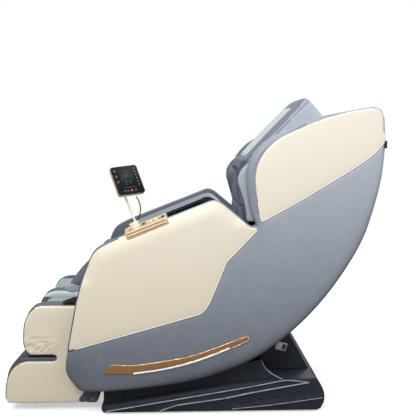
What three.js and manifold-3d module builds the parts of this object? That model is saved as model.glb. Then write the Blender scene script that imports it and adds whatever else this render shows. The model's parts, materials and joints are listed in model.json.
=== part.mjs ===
// Massage chair: reclining shell chair with a lifting leg rest, massage carriage and arm tablet.
// Millimetres. X runs along the chair and the sitter faces -X, Y is sideways (sitter's left is -Y),
// Z is up. The origin is on the floor, midway along and midway across.
import * as THREE from 'three';
import { mergeVertices } from 'three/addons/utils/BufferGeometryUtils.js';
import Module from 'manifold-3d';

const wasm = await Module();
wasm.setup();

// ---------------------------------------------------------------- driving dimensions
const GAP = 0.4;                       // clearance between neighbouring pieces
const HALF_WIDTH = 390;                // trims and control panel stand out to here
const SHELL_FACE = 386;                // outer face of the side shells
const SHELL_INNER = 345;               // inner face of the side shells
const PANEL_SEAT = 370;                // bottom of the pockets that hold the cream panels
const COVER_HALF = SHELL_INNER - GAP;  // half width of what fits between the side shells

const RECLINE_PIVOT = [255, 330];      // x, z of the shaft that the whole seat tilts on
const SHAFT_RADIUS = 15;
const LEG_PIVOT = [-390, 425];         // x, z of the leg rest's hinge pins
const LEG_PIN_RADIUS = 9;
const RUNNING = 0.4;                   // radial clearance of a pin in its bore

const BACK_FOOT = [39, 440];           // where the backrest's front line starts
const BACK_ANGLE = 61;                 // degrees, slope of the backrest line

const ARM_SLOPE = 21.4;                // degrees, the armrests rise to the rear
const ARM_ORIGIN = [-158, 724];        // middle of the control panel's lower edge, on the arm
const PANEL_HALF_LENGTH = 84;

const LEG_HALF = 289;                  // half width of the leg rest without its cream panels
const LEG_FACE = 310;                  // outer face of the leg rest's cream panels

// ---------------------------------------------------------------- materials
function finish(color, roughness, metalness) {
  return new THREE.MeshStandardMaterial({ color, roughness, metalness });
}
const greyLeather = finish(0xa7b0ba, 0.5, 0);
const creamLeather = finish(0xe9e2d1, 0.45, 0);
const tealKnit = finish(0xb2bebe, 0.9, 0);
const blackPlastic = finish(0x1c1f24, 0.4, 0);
const darkPlastic = finish(0x5b5f67, 0.5, 0);
const goldPlastic = finish(0xd8a468, 0.3, 0.6);
const trimPlastic = finish(0x92693f, 0.3, 0.3);
const lightBar = finish(0xffffff, 0.3, 0);
const steel = finish(0x3a3d42, 0.5, 0.8);
const brightSteel = finish(0xb8bcc2, 0.25, 0.9);
const rubber = finish(0x222222, 0.9, 0);
const blackGlass = finish(0x08090c, 0.1, 0);
const redPlastic = finish(0xd8323a, 0.4, 0);

// ---------------------------------------------------------------- solids
const model = new THREE.Group();

function toSolid(geometry) {
  const bare = geometry.clone();
  bare.deleteAttribute('normal');
  bare.deleteAttribute('uv');
  const merged = mergeVertices(bare.index ? bare.toNonIndexed() : bare, 1e-4);
  const mesh = new wasm.Mesh({
    numProp: 3,
    vertProperties: new Float32Array(merged.attributes.position.array),
    triVerts: new Uint32Array(merged.index.array),
  });
  return new wasm.Manifold(mesh);
}

function toGeometry(solid) {
  const mesh = solid.getMesh();
  const geometry = new THREE.BufferGeometry();
  geometry.setAttribute('position', new THREE.BufferAttribute(mesh.vertProperties, 3));
  geometry.setIndex(new THREE.BufferAttribute(mesh.triVerts, 1));
  geometry.computeVertexNormals();
  return geometry;
}

function join(...geometries) {
  return geometries.map(toSolid).reduce((whole, piece) => whole.add(piece));
}

function cut(solid, ...geometries) {
  return geometries.map(toSolid).reduce((rest, piece) => rest.subtract(piece), solid);
}

function place(name, shape, material, parent = model) {
  const geometry = shape.isBufferGeometry ? shape : toGeometry(shape);
  const mesh = new THREE.Mesh(geometry, material);
  mesh.name = name;
  parent.add(mesh);
  return mesh;
}

function box(x0, x1, y0, y1, z0, z1) {
  const geometry = new THREE.BoxGeometry(x1 - x0, Math.abs(y1 - y0), z1 - z0);
  return geometry.translate((x0 + x1) / 2, (y0 + y1) / 2, (z0 + z1) / 2);
}

// A side-view shape (x, z), extruded sideways between two y values.
function slab(shape, y0, y1, curveSegments = 2) {
  const depth = Math.abs(y1 - y0);
  const geometry = new THREE.ExtrudeGeometry(shape, { depth, bevelEnabled: false, curveSegments });
  geometry.rotateX(Math.PI / 2);
  return geometry.translate(0, Math.max(y0, y1), 0);
}

function pin(x, z, y0, y1, radius, segments = 16) {
  const geometry = new THREE.CylinderGeometry(radius, radius, Math.abs(y1 - y0), segments);
  return geometry.translate(x, (y0 + y1) / 2, z);
}

// A bore whose flats stay clear of a round pin of the given radius.
function bore(x, z, y0, y1, pinRadius, segments = 16) {
  return pin(x, z, y0, y1, (pinRadius + RUNNING) / Math.cos(Math.PI / segments), segments);
}

function polygon(points) {
  return new THREE.Shape(points.map(([x, z]) => new THREE.Vector2(x, z)));
}

function through(path, points) {
  path.splineThru(points.map(([x, z]) => new THREE.Vector2(x, z)));
  return path;
}

function shifted(points, dx, dz) {
  return points.map(([x, z]) => [x + dx, z + dz]);
}

// A point s along the backrest line and n behind it.
function onBack(s, n) {
  const angle = THREE.MathUtils.degToRad(BACK_ANGLE);
  const x = BACK_FOOT[0] + s * Math.cos(angle) + n * Math.sin(angle);
  const z = BACK_FOOT[1] + s * Math.sin(angle) - n * Math.cos(angle);
  return [x, z];
}

// A block that lies along the backrest line, as a side-view shape.
function backBlock(s0, s1, n0, n1) {
  return polygon([onBack(s0, n0), onBack(s0, n1), onBack(s1, n1), onBack(s1, n0)]);
}

const bothSides = [['left', -1], ['right', 1]];

// ---------------------------------------------------------------- base, which stands on the floor
const FOOT_HEIGHT = 7;
const TUBE_TOP = 38;                   // top of the base frame's tubes
const TRACK_HALF = 280;                // outer faces of the base frame's long tubes
const RECLINE_FOOT = [-121, 60];       // lower pin of the recline actuator
const RECLINE_LUG = [35, 290];         // upper end of the recline actuator, on the seat frame
const ACTUATOR_PIN = 8;
const COVER_SIDE = 340;                // half width of the base cover
const UPPER_SIDE = 300;                // half width of its raised middle
const COVER_WALL = 5;
const COLUMN_SIDE = 230;               // half width of the cover round the pivot column
const WHEEL = { x: 419, z: 29, radius: 25, inner: 152, outer: 174, pin: 5 };

function baseFrame() {
  const [px, pz] = RECLINE_PIVOT;
  const [ax, az] = RECLINE_FOOT;
  const bottom = FOOT_HEIGHT + GAP;
  const pieces = [box(-102, 202, -242, 242, TUBE_TOP - 6, TUBE_TOP)];
  for (const x of [-330, -141, 200, 300, 454]) {
    pieces.push(box(x, x + 40, -242, 242, bottom, TUBE_TOP));
  }
  const bores = [bore(px, pz, -240, 240, SHAFT_RADIUS), bore(ax, az, -40, 40, ACTUATOR_PIN)];
  for (const [, side] of bothSides) {
    pieces.push(box(-330, 494, side * (TRACK_HALF - 40), side * TRACK_HALF, bottom, TUBE_TOP));
    const upright = polygon([
      [213, 30], [338, 30], [px + 34, pz + 22], [px - 24, pz + 22], [213, 318],
    ]);
    pieces.push(slab(upright, side * 196, side * 206));
    pieces.push(box(ax - 22, ax + 22, side * 22, side * 28, bottom + 4, az + 18));
    pieces.push(box(WHEEL.x - 15, 460, side * 142, side * 148, 14, 46));
    bores.push(bore(WHEEL.x, WHEEL.z, side * 136, side * 156, WHEEL.pin));
  }
  return cut(join(...pieces), ...bores);
}

function baseCover() {
  const lower = polygon([
    [-338, 8], [-345, 12], [-349, 20], [-349, 32], [-121, 66], [152, 111], [360, 132], [486, 136],
    [505, 118], [515, 102], [523, 82], [526, 62], [523, 38], [511, 15], [497, 8],
  ]);
  const lowerInside = polygon([
    [-333, 0], [-340, 14], [-344, 22], [-344, 28], [-121, 61], [152, 106], [360, 127], [483, 131],
    [500, 115], [510, 99], [518, 80], [521, 62], [518, 40], [507, 18], [494, 0],
  ]);
  const upper = polygon([
    [-345, 20], [-345, 100], [280, 198], [292, 170], [312, 148], [345, 132], [345, 20],
  ]);
  const upperInside = polygon([
    [-340, 0], [-340, 260], [274, 260], [274, 197], [286, 167], [308, 143], [340, 126.5], [340, 0],
  ]);
  const whole = join(slab(lower, -COVER_SIDE, COVER_SIDE), slab(upper, -UPPER_SIDE, UPPER_SIDE));
  const columnOpening = box(203, 345, -COLUMN_SIDE - 2, COLUMN_SIDE + 2, 100, 220);
  return cut(
    whole,
    slab(lowerInside, -COVER_SIDE + COVER_WALL, COVER_SIDE - COVER_WALL),
    slab(upperInside, -UPPER_SIDE + COVER_WALL, UPPER_SIDE - COVER_WALL),
    columnOpening,
  );
}

function columnCover() {
  const [px, pz] = RECLINE_PIVOT;
  const outer = polygon([
    [205, 136.4], [205, 330], [225, 360], [330, 360], [385, 300], [407, 273], [482, 136.4],
  ]);
  const inner = polygon([
    [209, 120], [209, 329], [227, 356], [328, 356], [382, 298], [403, 271], [479, 130], [484, 120],
  ]);
  const shaftHoles = bore(px, pz, -240, 240, SHAFT_RADIUS + 2);
  const hollow = slab(inner, -COLUMN_SIDE + 4, COLUMN_SIDE - 4);
  return cut(toSolid(slab(outer, -COLUMN_SIDE, COLUMN_SIDE)), hollow, shaftHoles);
}

// Mains inlet on the left face of the column, and the rocker that sits in it.
const INLET = new THREE.Group();
INLET.position.set(369, -COLUMN_SIDE, 231);
INLET.rotation.y = THREE.MathUtils.degToRad(14);

function buildBase() {
  const [px, pz] = RECLINE_PIVOT;
  place('base_frame', baseFrame(), steel);
  place('base_cover', baseCover(), blackPlastic);
  place('column_cover', columnCover(), blackPlastic);
  const shaft = join(
    pin(px, pz, -290, 290, SHAFT_RADIUS),
    pin(px, pz, -290, -278, SHAFT_RADIUS + 7),
    pin(px, pz, 278, 290, SHAFT_RADIUS + 7),
  );
  place('pivot_shaft', shaft, brightSteel);
  for (const [end, x] of [['front', -300], ['rear', 466]]) {
    for (const [hand, side] of bothSides) {
      const foot = new THREE.CylinderGeometry(18, 20, FOOT_HEIGHT, 20);
      foot.rotateX(Math.PI / 2);
      const mesh = place(`foot_${end}_${hand}`, foot, rubber);
      mesh.position.set(x, side * 260, FOOT_HEIGHT / 2);
    }
  }
  place('control_box', box(30, 160, -215, -70, TUBE_TOP + GAP, 105), darkPlastic);
  const pump = join(
    box(30, 150, 75, 205, TUBE_TOP + GAP, 96),
    pin(60, 96, 85, 195, 22),
    pin(120, 96, 85, 195, 22),
  );
  place('air_pump', pump, darkPlastic);
  for (const [hand, side] of bothSides) {
    const wheel = join(
      pin(WHEEL.x, WHEEL.z, side * WHEEL.inner, side * WHEEL.outer, WHEEL.radius, 28),
      pin(WHEEL.x, WHEEL.z, side * 138, side * (WHEEL.inner + 2), WHEEL.pin),
    );
    place(`transport_wheel_${hand}`, wheel, rubber);
  }
  model.add(INLET);
  const plate = join(box(-22, 22, -4, -GAP, -17, 17), box(-17, 0, -8, -3, -11, 11));
  place('power_inlet', cut(plate, box(4, 18, -6, 6, -11, 11)), brightSteel, INLET);
  place('power_switch', box(5.2, 16.8, -6.2, -1.6, -9.4, 9.4), blackPlastic, INLET);
}

// ---------------------------------------------------------------- linear actuators
// Built along +Z of a group that sits on the fixed pin and points at the moving end.
function actuator(name, foot, head, tubeLength, tubeRadius, rodRadius, motorSide) {
  const dx = head[0] - foot[0];
  const dz = head[1] - foot[1];
  const length = Math.hypot(dx, dz);
  const frame = new THREE.Group();
  frame.position.set(foot[0], 0, foot[1]);
  frame.rotation.y = Math.atan2(dx, dz);
  model.add(frame);
  const along = (radius, z0, z1) => {
    const geometry = new THREE.CylinderGeometry(radius, radius, z1 - z0, 20);
    return geometry.rotateX(Math.PI / 2).translate(0, 0, (z0 + z1) / 2);
  };
  const housing = join(
    pin(0, 0, -18, 18, 16),
    pin(0, 0, -32, 32, ACTUATOR_PIN),
    along(tubeRadius, 11, tubeLength),
    box(-tubeRadius + 3, tubeRadius - 3, -16.5, 16.5, 10, 55),
    box(-15, 15, -16, 16, 14, 92).translate(motorSide * (tubeRadius + 11), 0, 0),
  );
  const rodStart = 66;
  const rod = join(along(rodRadius, rodStart, length - 6), pin(0, length, -16, 16, 13));
  place(`${name}_body`, cut(housing, along(rodRadius + 0.6, rodStart - 4, tubeLength + 1)),
    darkPlastic, frame);
  place(`${name}_rod`, rod, brightSteel, frame);
}

// ---------------------------------------------------------------- seat and back structure
const PLATE = [270, 276];              // y of the seat frame's side plates
const LEG_LUG = [156, 166];            // y of the lugs that carry the leg rest
const LEG_ACTUATOR_FOOT = [-60, 215];
const LEG_ACTUATOR_HEAD = [-405, 300];
const SEAT_PAN = [352, 366];           // z of the pan under the seat cushion

function seatFrame() {
  const [px, pz] = RECLINE_PIVOT;
  const [lx, lz] = LEG_PIVOT;
  const [ax, az] = LEG_ACTUATOR_FOOT;
  const [rx, rz] = RECLINE_LUG;
  const [inner, outer] = PLATE;
  const pieces = [
    box(-330, -300, -272, 272, 385, 415),
    box(-75, -45, -272, 272, 242, 266),
    box(rx - 15, rx + 15, -272, 272, 314, 344),
    slab(backBlock(95, 122, 186, 212), -272, 272),
    box(-300, 20, -272, 272, SEAT_PAN[0], SEAT_PAN[1]),
  ];
  const bores = [
    bore(px, pz, -290, 290, SHAFT_RADIUS),
    bore(ax, az, -40, 40, ACTUATOR_PIN),
    bore(lx, lz, -180, 180, LEG_PIN_RADIUS),
  ];
  const plate = polygon([
    [-338, 300], [-338, 418], [195, 418], [215, 520], [330, 520], [345, 440],
    [318, 285], [200, 236], [-120, 236],
  ]);
  for (const [, side] of bothSides) {
    pieces.push(slab(plate, side * inner, side * outer));
    pieces.push(box(lx - 18, -338, side * LEG_LUG[0], side * LEG_LUG[1], lz - 18, lz + 16));
    pieces.push(box(-345, -302, side * LEG_LUG[0], side * LEG_LUG[1], 400, 416));
    pieces.push(box(ax - 18, ax + 18, side * 22, side * 28, az - 18, 246));
    pieces.push(box(rx - 20, rx + 20, side * 22, side * 28, rz - 18, 318));
    for (const [x, z] of [[-250, 350], [80, 360], [300, 430]]) {
      pieces.push(pin(x, z, side * (inner + 2), side * COVER_HALF, 12));
    }
  }
  return cut(join(...pieces), ...bores);
}

const UPRIGHT = [242, 266];            // y of the back frame's uprights
const BACK_CROSS = [145, 430, 670];    // where cross tubes sit along the back
const CROSS_WIDTH = 30;
const RAIL = [160, 172];               // y of the massage track's two rails

function backFrame() {
  const pieces = [];
  for (const s of BACK_CROSS) {
    const tube = backBlock(s, s + CROSS_WIDTH, 185, 215);
    pieces.push(slab(tube, -UPRIGHT[1] + 4, UPRIGHT[1] - 4));
  }
  const post = polygon([[520, 960], [550, 960], [500, 1064], [478, 1044]]);
  for (const [, side] of bothSides) {
    pieces.push(slab(backBlock(130, 705, 180, 220), side * UPRIGHT[0], side * UPRIGHT[1]));
    pieces.push(slab(post, side * 60, side * 72));
    for (const s of [300, 640]) {
      const [x, z] = onBack(s, 200);
      pieces.push(pin(x, z, side * (UPRIGHT[1] - 2), side * COVER_HALF, 12));
    }
  }
  const [tx, tz] = onBack(690, 200);
  pieces.push(box(tx - 34, tx + 6, -75, 75, tz - 12, tz + 20));
  return join(...pieces);
}

function guideRail(side) {
  const pieces = [slab(backBlock(20, 705, 135, 165), side * RAIL[0], side * RAIL[1])];
  for (const s of BACK_CROSS) {
    pieces.push(slab(backBlock(s, s + CROSS_WIDTH, 164, 185 - GAP), side * RAIL[0], side * RAIL[1]));
  }
  return join(...pieces);
}

// ---------------------------------------------------------------- massage carriage
const CARRIAGE_S = [200, 350];         // where it rests along the back
const ARM_PIVOT_S = 275;
const ARM_PIVOT_N = 110;
const ARM_Y = [66, 82];
const BALL_RADIUS = 24;

function carriageFrame() {
  const [s0, s1] = CARRIAGE_S;
  const pieces = [
    slab(backBlock(s0, s1, 134, 146), -148, 148),
    slab(backBlock(s0 + 30, s1 - 30, 140, 182), -60, 60),
  ];
  const [px, pz] = onBack(ARM_PIVOT_S, ARM_PIVOT_N);
  for (const [, side] of bothSides) {
    pieces.push(slab(backBlock(s0, s1, 134, 168), side * 142, side * 152));
    pieces.push(slab(backBlock(ARM_PIVOT_S - 14, ARM_PIVOT_S + 14, 96, 138), side * 56, side * 62));
    for (const s of [s0 + 20, s1 - 20]) {
      const [x, z] = onBack(s, 150);
      pieces.push(pin(x, z, side * 150, side * (RAIL[0] - 1), 13));
    }
  }
  return cut(join(...pieces), bore(px, pz, -65, 65, 6));
}

function massageArm(side) {
  const [px, pz] = onBack(ARM_PIVOT_S, ARM_PIVOT_N);
  const pieces = [
    slab(backBlock(ARM_PIVOT_S - 84, ARM_PIVOT_S + 84, 92, 118), side * ARM_Y[0], side * ARM_Y[1]),
    pin(px, pz, side * 52, side * (ARM_Y[0] + 2), 6),
  ];
  for (const reach of [-80, 80]) {
    const [x, z] = onBack(ARM_PIVOT_S + reach, 96);
    const ball = new THREE.SphereGeometry(BALL_RADIUS, 12, 8);
    pieces.push(ball.translate(x, side * (ARM_Y[0] + ARM_Y[1]) / 2, z));
  }
  return join(...pieces);
}

// ---------------------------------------------------------------- side shells and their panels
// Side view, clockwise from the lower front corner.
function shellOutline() {
  const outline = new THREE.Shape();
  outline.moveTo(-478, 185);
  outline.lineTo(-469, 270);
  outline.lineTo(-435, 448);
  through(outline, [[-412, 536], [-389, 600], [-368, 645], [-334, 673], [-265, 705]]);
  outline.lineTo(72, 837);
  outline.quadraticCurveTo(98, 847, 128, 824);
  outline.lineTo(220, 748);
  outline.quadraticCurveTo(234, 737, 246, 748);
  through(outline, [[223, 813], [209, 915], [222, 992], [274, 1056], [341, 1095], [474, 1150],
    [684, 1189]]);
  outline.quadraticCurveTo(722, 1194, 727, 1152);
  through(outline, [[733, 1060], [722, 930], [693, 805], [647, 674], [567, 540], [477, 425],
    [374, 323], [264, 240], [157, 189], [-12, 138], [-290, 107], [-398, 104]]);
  outline.quadraticCurveTo(-428, 104, -444, 128);
  outline.closePath();
  return outline;
}

function armPanelOutline() {
  const outline = new THREE.Shape();
  outline.moveTo(-463, 272);
  outline.lineTo(-429, 449);
  through(outline, [[-406, 535], [-383, 598], [-363, 639], [-331, 666], [-263, 698]]);
  outline.lineTo(72, 830);
  outline.quadraticCurveTo(96, 839, 124, 817);
  outline.lineTo(214, 743);
  outline.quadraticCurveTo(230, 730, 250, 734);
  outline.lineTo(138, 618);
  outline.quadraticCurveTo(128, 606, 121, 585);
  outline.lineTo(73, 467);
  outline.quadraticCurveTo(54, 421, 25, 411);
  outline.closePath();
  return outline;
}

function wingPanelOutline() {
  const outline = new THREE.Shape();
  outline.moveTo(267, 763);
  through(outline, [[246, 887], [248, 952], [266, 1000], [302, 1044], [354, 1080], [474, 1132],
    [587, 1165], [676, 1180]]);
  outline.quadraticCurveTo(712, 1183, 718, 1152);
  outline.lineTo(723, 1056);
  through(outline, [[692, 1022], [640, 981], [527, 911], [397, 834], [267, 763]]);
  return outline;
}

const STRIP_LOWER = [[205, 300], [147, 274], [70, 243], [-11, 216], [-117, 192], [-219, 178]];

function trimOutline() {
  const outline = new THREE.Shape();
  outline.moveTo(-328, 177);
  outline.lineTo(-318, 203);
  outline.quadraticCurveTo(-312, 216, -298, 216);
  through(outline, [[-218, 213], [-118, 226], [-11, 245], [72, 271], [205, 321]]);
  outline.quadraticCurveTo(226, 326, 219, 308);
  through(outline, STRIP_LOWER);
  outline.closePath();
  return outline;
}

function lightOutline(margin) {
  const lower = STRIP_LOWER.slice(1);
  const outline = new THREE.Shape();
  outline.moveTo(147 + margin, 274 - 2 * margin);
  through(outline, shifted(lower.slice(1), 0, -2 * margin));
  outline.lineTo(-219 - margin, 184 + margin);
  through(outline, shifted(lower.slice(0, -1).reverse(), 0, 6 + margin));
  outline.closePath();
  return outline;
}

// The cavity that the control panel takes out of the left arm, in arm coordinates.
function armPocket() {
  const reach = PANEL_HALF_LENGTH + GAP;
  const pocket = box(-reach, reach, -HALF_WIDTH - 2, -310, -GAP, 60);
  pocket.rotateY(-THREE.MathUtils.degToRad(ARM_SLOPE));
  return pocket.translate(ARM_ORIGIN[0], 0, ARM_ORIGIN[1]);
}

function buildShells() {
  for (const [hand, side] of bothSides) {
    const outside = side * (SHELL_FACE + 2);
    const panelSeat = side * (PANEL_SEAT + GAP);
    let shell = cut(
      toSolid(slab(shellOutline(), side * SHELL_INNER, side * SHELL_FACE)),
      slab(armPanelOutline(), side * PANEL_SEAT, outside),
      slab(wingPanelOutline(), side * PANEL_SEAT, outside),
    );
    let arm = toSolid(slab(armPanelOutline(), panelSeat, side * SHELL_FACE));
    let pad = armPad(side);
    if (hand === 'left') {
      shell = cut(shell, armPocket());
      arm = cut(arm, armPocket());
      pad = cut(pad, armPocket());
    }
    place(`side_shell_${hand}`, shell, greyLeather);
    place(`arm_panel_${hand}`, arm, creamLeather);
    const wing = slab(wingPanelOutline(), panelSeat, side * SHELL_FACE);
    place(`wing_panel_${hand}`, wing, creamLeather);
    place(`arm_pad_${hand}`, pad, greyLeather);
    const face = side * (SHELL_FACE + GAP);
    const trim = cut(toSolid(slab(trimOutline(), face, side * HALF_WIDTH)),
      slab(lightOutline(GAP), face - side, side * (HALF_WIDTH + 2)));
    place(`trim_strip_${hand}`, trim, trimPlastic);
    place(`light_strip_${hand}`, slab(lightOutline(0), face, side * (HALF_WIDTH - 1)), lightBar);
  }
}

// Padded inside of an arm, with the tunnel that holds the forearm.
function armPad(side) {
  const outline = polygon([
    [-332, 424], [-336, 600], [-322, 652], [-262, 690], [72, 822], [98, 824], [126, 806],
    [180, 748], [188, 600], [130, 424],
  ]);
  const tunnel = polygon([[-350, 545], [-350, 630], [62, 792], [92, 756], [62, 690]]);
  return cut(toSolid(slab(outline, side * 240, side * COVER_HALF)),
    slab(tunnel, side * 230, side * 322));
}

const PILLOW_HALF = 178;

// Curved cover across the back, between the side shells.
function backShell() {
  const outer = [[708, 1140], [711, 1060], [703, 930], [678, 810], [636, 682], [557, 552],
    [468, 438], [436, 398]];
  const outline = new THREE.Shape();
  outline.moveTo(580, 1150);
  outline.lineTo(676, 1168);
  outline.quadraticCurveTo(704, 1172, 708, 1140);
  through(outline, outer.slice(1));
  outline.lineTo(424, 408);
  through(outline, [[456, 448], [545, 560], [623, 688], [664, 814], [689, 932], [697, 1060],
    [694, 1134]]);
  outline.quadraticCurveTo(692, 1156, 676, 1153);
  outline.lineTo(583, 1136);
  outline.closePath();
  const pieces = [slab(outline, -COVER_HALF, COVER_HALF)];
  // Decks that close the top of the back on either side of the head pillow.
  const deck = polygon([[404, 1074], [404, 1086], [581, 1149.5], [592, 1150], [592, 1138.5]]);
  for (const [, side] of bothSides) {
    pieces.push(slab(deck, side * (PILLOW_HALF + 6), side * COVER_HALF));
  }
  return join(...pieces);
}

// ---------------------------------------------------------------- cushions
function buildCushions() {
  const seat = polygon([
    [-334, 418], [-336, 434], [-320, 450], [40, 446], [62, 430], [62, SEAT_PAN[1] + 2],
    [-297, SEAT_PAN[1] + 2], [-297, 418],
  ]);
  place('seat_cushion', slab(seat, -238, 238), greyLeather);
  const back = new THREE.Shape();
  back.moveTo(66, 452);
  through(back, [[150, 612], [202, 745], [198, 850], [206, 925], [222, 956]]);
  back.lineTo(336, 914);
  back.lineTo(...onBack(60, 58));
  back.closePath();
  place('back_cushion', slab(back, -222, 222), greyLeather);
  const pillow = new THREE.Shape();
  pillow.moveTo(212, 986);
  pillow.lineTo(436, 1216);
  through(pillow, [[463, 1240], [486, 1227], [545, 1162]]);
  pillow.lineTo(558, 1136);
  pillow.lineTo(430, 1012);
  pillow.lineTo(300, 952);
  pillow.lineTo(236, 968);
  pillow.closePath();
  place('head_pillow', slab(pillow, -PILLOW_HALF, PILLOW_HALF), greyLeather);
  const shoulder = new THREE.Shape();
  shoulder.moveTo(352, 1082);
  through(shoulder, [[251, 1010], [189, 950], [177, 912], [190, 868], [207, 810], [212, 752]]);
  shoulder.lineTo(250, 752);
  shoulder.lineTo(340, 900);
  shoulder.lineTo(400, 1086);
  shoulder.closePath();
  for (const [hand, side] of bothSides) {
    place(`shoulder_pad_${hand}`, slab(shoulder, side * 228, side * COVER_HALF), greyLeather);
  }
}

// ---------------------------------------------------------------- control panel and tablet
const KEY_TRAVEL_SPACE = 2;            // free depth under a key
const FACE_TILT = 11;                  // degrees, the panel's top leans outwards
const KEYS = [[-8, 'square'], [20, 'round'], [42, 'round'], [69, 'square']];
const DISC = { x: -42, y: -349, radius: 19, bottom: 37, top: 51 };
const POLE = { x: -36, y: -340, radius: 4, length: 110 };
const TABLET = { width: 108, height: 122, thickness: 14 };
const TABLET_CENTRE = [-239, -334, 912];
const TABLET_UP = [-0.34, 0.432, 0.833];
const TABLET_NORMAL = [0.357, -0.762, 0.541];

function buildControls() {
  const arm = new THREE.Group();
  arm.position.set(ARM_ORIGIN[0], 0, ARM_ORIGIN[1]);
  arm.rotation.y = -THREE.MathUtils.degToRad(ARM_SLOPE);
  model.add(arm);

  // Cross-section in y and z, extruded along the arm.
  const section = new THREE.Shape();
  section.moveTo(-HALF_WIDTH, 4);
  section.lineTo(-HALF_WIDTH, 24);
  section.lineTo(-HALF_WIDTH + 3, 26.5);
  section.lineTo(-328, 38);
  section.lineTo(-314, 33);
  section.lineTo(-314, 0);
  section.lineTo(-HALF_WIDTH + 4, 0);
  section.closePath();
  const length = 2 * PANEL_HALF_LENGTH;
  const bar = new THREE.ExtrudeGeometry(section, { depth: length, bevelEnabled: false });
  bar.rotateY(Math.PI / 2).rotateX(Math.PI / 2);
  bar.translate(-PANEL_HALF_LENGTH, 0, 0);
  const keyFrame = new THREE.Group();
  keyFrame.position.set(0, -358, 32);
  keyFrame.rotation.x = THREE.MathUtils.degToRad(FACE_TILT);
  keyFrame.updateMatrix();
  const keyBlock = (x, form, grow, z0, z1) => {
    if (form === 'square') {
      return box(x - 6.5 - grow, x + 6.5 + grow, -6.5 - grow, 6.5 + grow, z0, z1);
    }
    const round = new THREE.CylinderGeometry(7.5 + grow, 7.5 + grow, z1 - z0, 20);
    return round.rotateX(Math.PI / 2).translate(x, 0, (z0 + z1) / 2);
  };
  const pockets = KEYS.map(([x, form]) =>
    keyBlock(x, form, GAP, -4 - KEY_TRAVEL_SPACE, 12).applyMatrix4(keyFrame.matrix));
  const swivelSeat = new THREE.CylinderGeometry(DISC.radius + GAP, DISC.radius + GAP, 40, 28);
  swivelSeat.rotateX(Math.PI / 2).translate(DISC.x, DISC.y, DISC.bottom - 10 - GAP + 20);
  place('control_panel', cut(toSolid(bar), ...pockets, swivelSeat), goldPlastic, arm);
  arm.add(keyFrame);
  KEYS.forEach(([x, form], index) => {
    const material = form === 'square' ? blackPlastic : goldPlastic;
    place(`quick_key_${index + 1}`, keyBlock(x, form, 0, -4, 2.5), material, keyFrame);
  });

  const disc = new THREE.CylinderGeometry(DISC.radius, DISC.radius, DISC.top - DISC.bottom + 10, 28);
  disc.rotateX(Math.PI / 2).translate(DISC.x, DISC.y, (DISC.top + DISC.bottom - 10) / 2);
  const pole = new THREE.CylinderGeometry(POLE.radius, POLE.radius, POLE.length, 14);
  pole.rotateX(Math.PI / 2).translate(POLE.x, POLE.y, DISC.top - 4 + POLE.length / 2);

  // The tablet's own frame sits on its tilt hinge at the top of the pole.
  arm.updateMatrix();
  const hinge = new THREE.Vector3(POLE.x, POLE.y, DISC.top - 4 + POLE.length + 3).applyMatrix4(arm.matrix);
  const up = new THREE.Vector3(...TABLET_UP).normalize();
  const normal = new THREE.Vector3(...TABLET_NORMAL);
  const across = new THREE.Vector3().crossVectors(up, normal).normalize();
  normal.crossVectors(across, up).normalize();
  const tablet = new THREE.Group();
  const basis = new THREE.Matrix4().makeBasis(across, up, normal);
  tablet.quaternion.setFromRotationMatrix(basis);
  tablet.position.copy(hinge);
  model.add(tablet);
  tablet.updateMatrix();
  const centre = new THREE.Vector3(...TABLET_CENTRE).applyMatrix4(tablet.matrix.clone().invert());

  const alongHinge = (radius, x0, x1) => {
    const geometry = new THREE.CylinderGeometry(radius, radius, x1 - x0, 16);
    return geometry.rotateZ(Math.PI / 2).translate((x0 + x1) / 2, 0, 0);
  };
  const toArm = arm.matrix.clone().invert().multiply(tablet.matrix);
  const knuckle = alongHinge(6, -5, 5).applyMatrix4(toArm);
  place('holder_pole', join(disc, pole, knuckle), goldPlastic, arm);

  const roundedPlate = (width, height, radius, z0, z1) => {
    const w = width / 2;
    const h = height / 2;
    const plate = new THREE.Shape();
    plate.absarc(w - radius, h - radius, radius, 0, Math.PI / 2);
    plate.absarc(-w + radius, h - radius, radius, Math.PI / 2, Math.PI);
    plate.absarc(-w + radius, -h + radius, radius, Math.PI, 1.5 * Math.PI);
    plate.absarc(w - radius, -h + radius, radius, 1.5 * Math.PI, 2 * Math.PI);
    const options = { depth: z1 - z0, bevelEnabled: false, curveSegments: 3 };
    return new THREE.ExtrudeGeometry(plate, options).translate(centre.x, centre.y, centre.z + z0);
  };
  const half = TABLET.thickness / 2;
  const backOfCase = centre.z - half;
  const neck = box(-9, 9, -6, 6, 7.5, backOfCase + 2);
  const cheeks = [alongHinge(6, 5.6, 9), alongHinge(6, -9, -5.6)];
  const bridges = [box(5.6, 9, -6, 6, 0, 9), box(-9, -5.6, -6, 6, 0, 9)];
  const shell = join(roundedPlate(TABLET.width, TABLET.height, 10, -half, half), neck,
    ...cheeks, ...bridges);
  const keySpot = { x: centre.x + 2, y: centre.y - 46 };
  const keyDisc = (radius, z0, z1) => {
    const disk = new THREE.CylinderGeometry(radius, radius, z1 - z0, 16);
    return disk.rotateX(Math.PI / 2).translate(keySpot.x, keySpot.y, centre.z + (z0 + z1) / 2);
  };
  const glassSeat = roundedPlate(TABLET.width - 5, TABLET.height - 5, 8, half - 2.4, half + 1);
  place('tablet_case', cut(shell, glassSeat, keyDisc(5.4, half - 6, half)), goldPlastic, tablet);
  const glass = roundedPlate(TABLET.width - 6, TABLET.height - 6, 7.5, half - 2, half + 0.4);
  place('tablet_screen', cut(toSolid(glass), keyDisc(5.4, half - 6, half + 2)), blackGlass, tablet);
  place('tablet_power_key', keyDisc(5, half - 3.8, half + 1.6), redPlastic, tablet);

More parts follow.
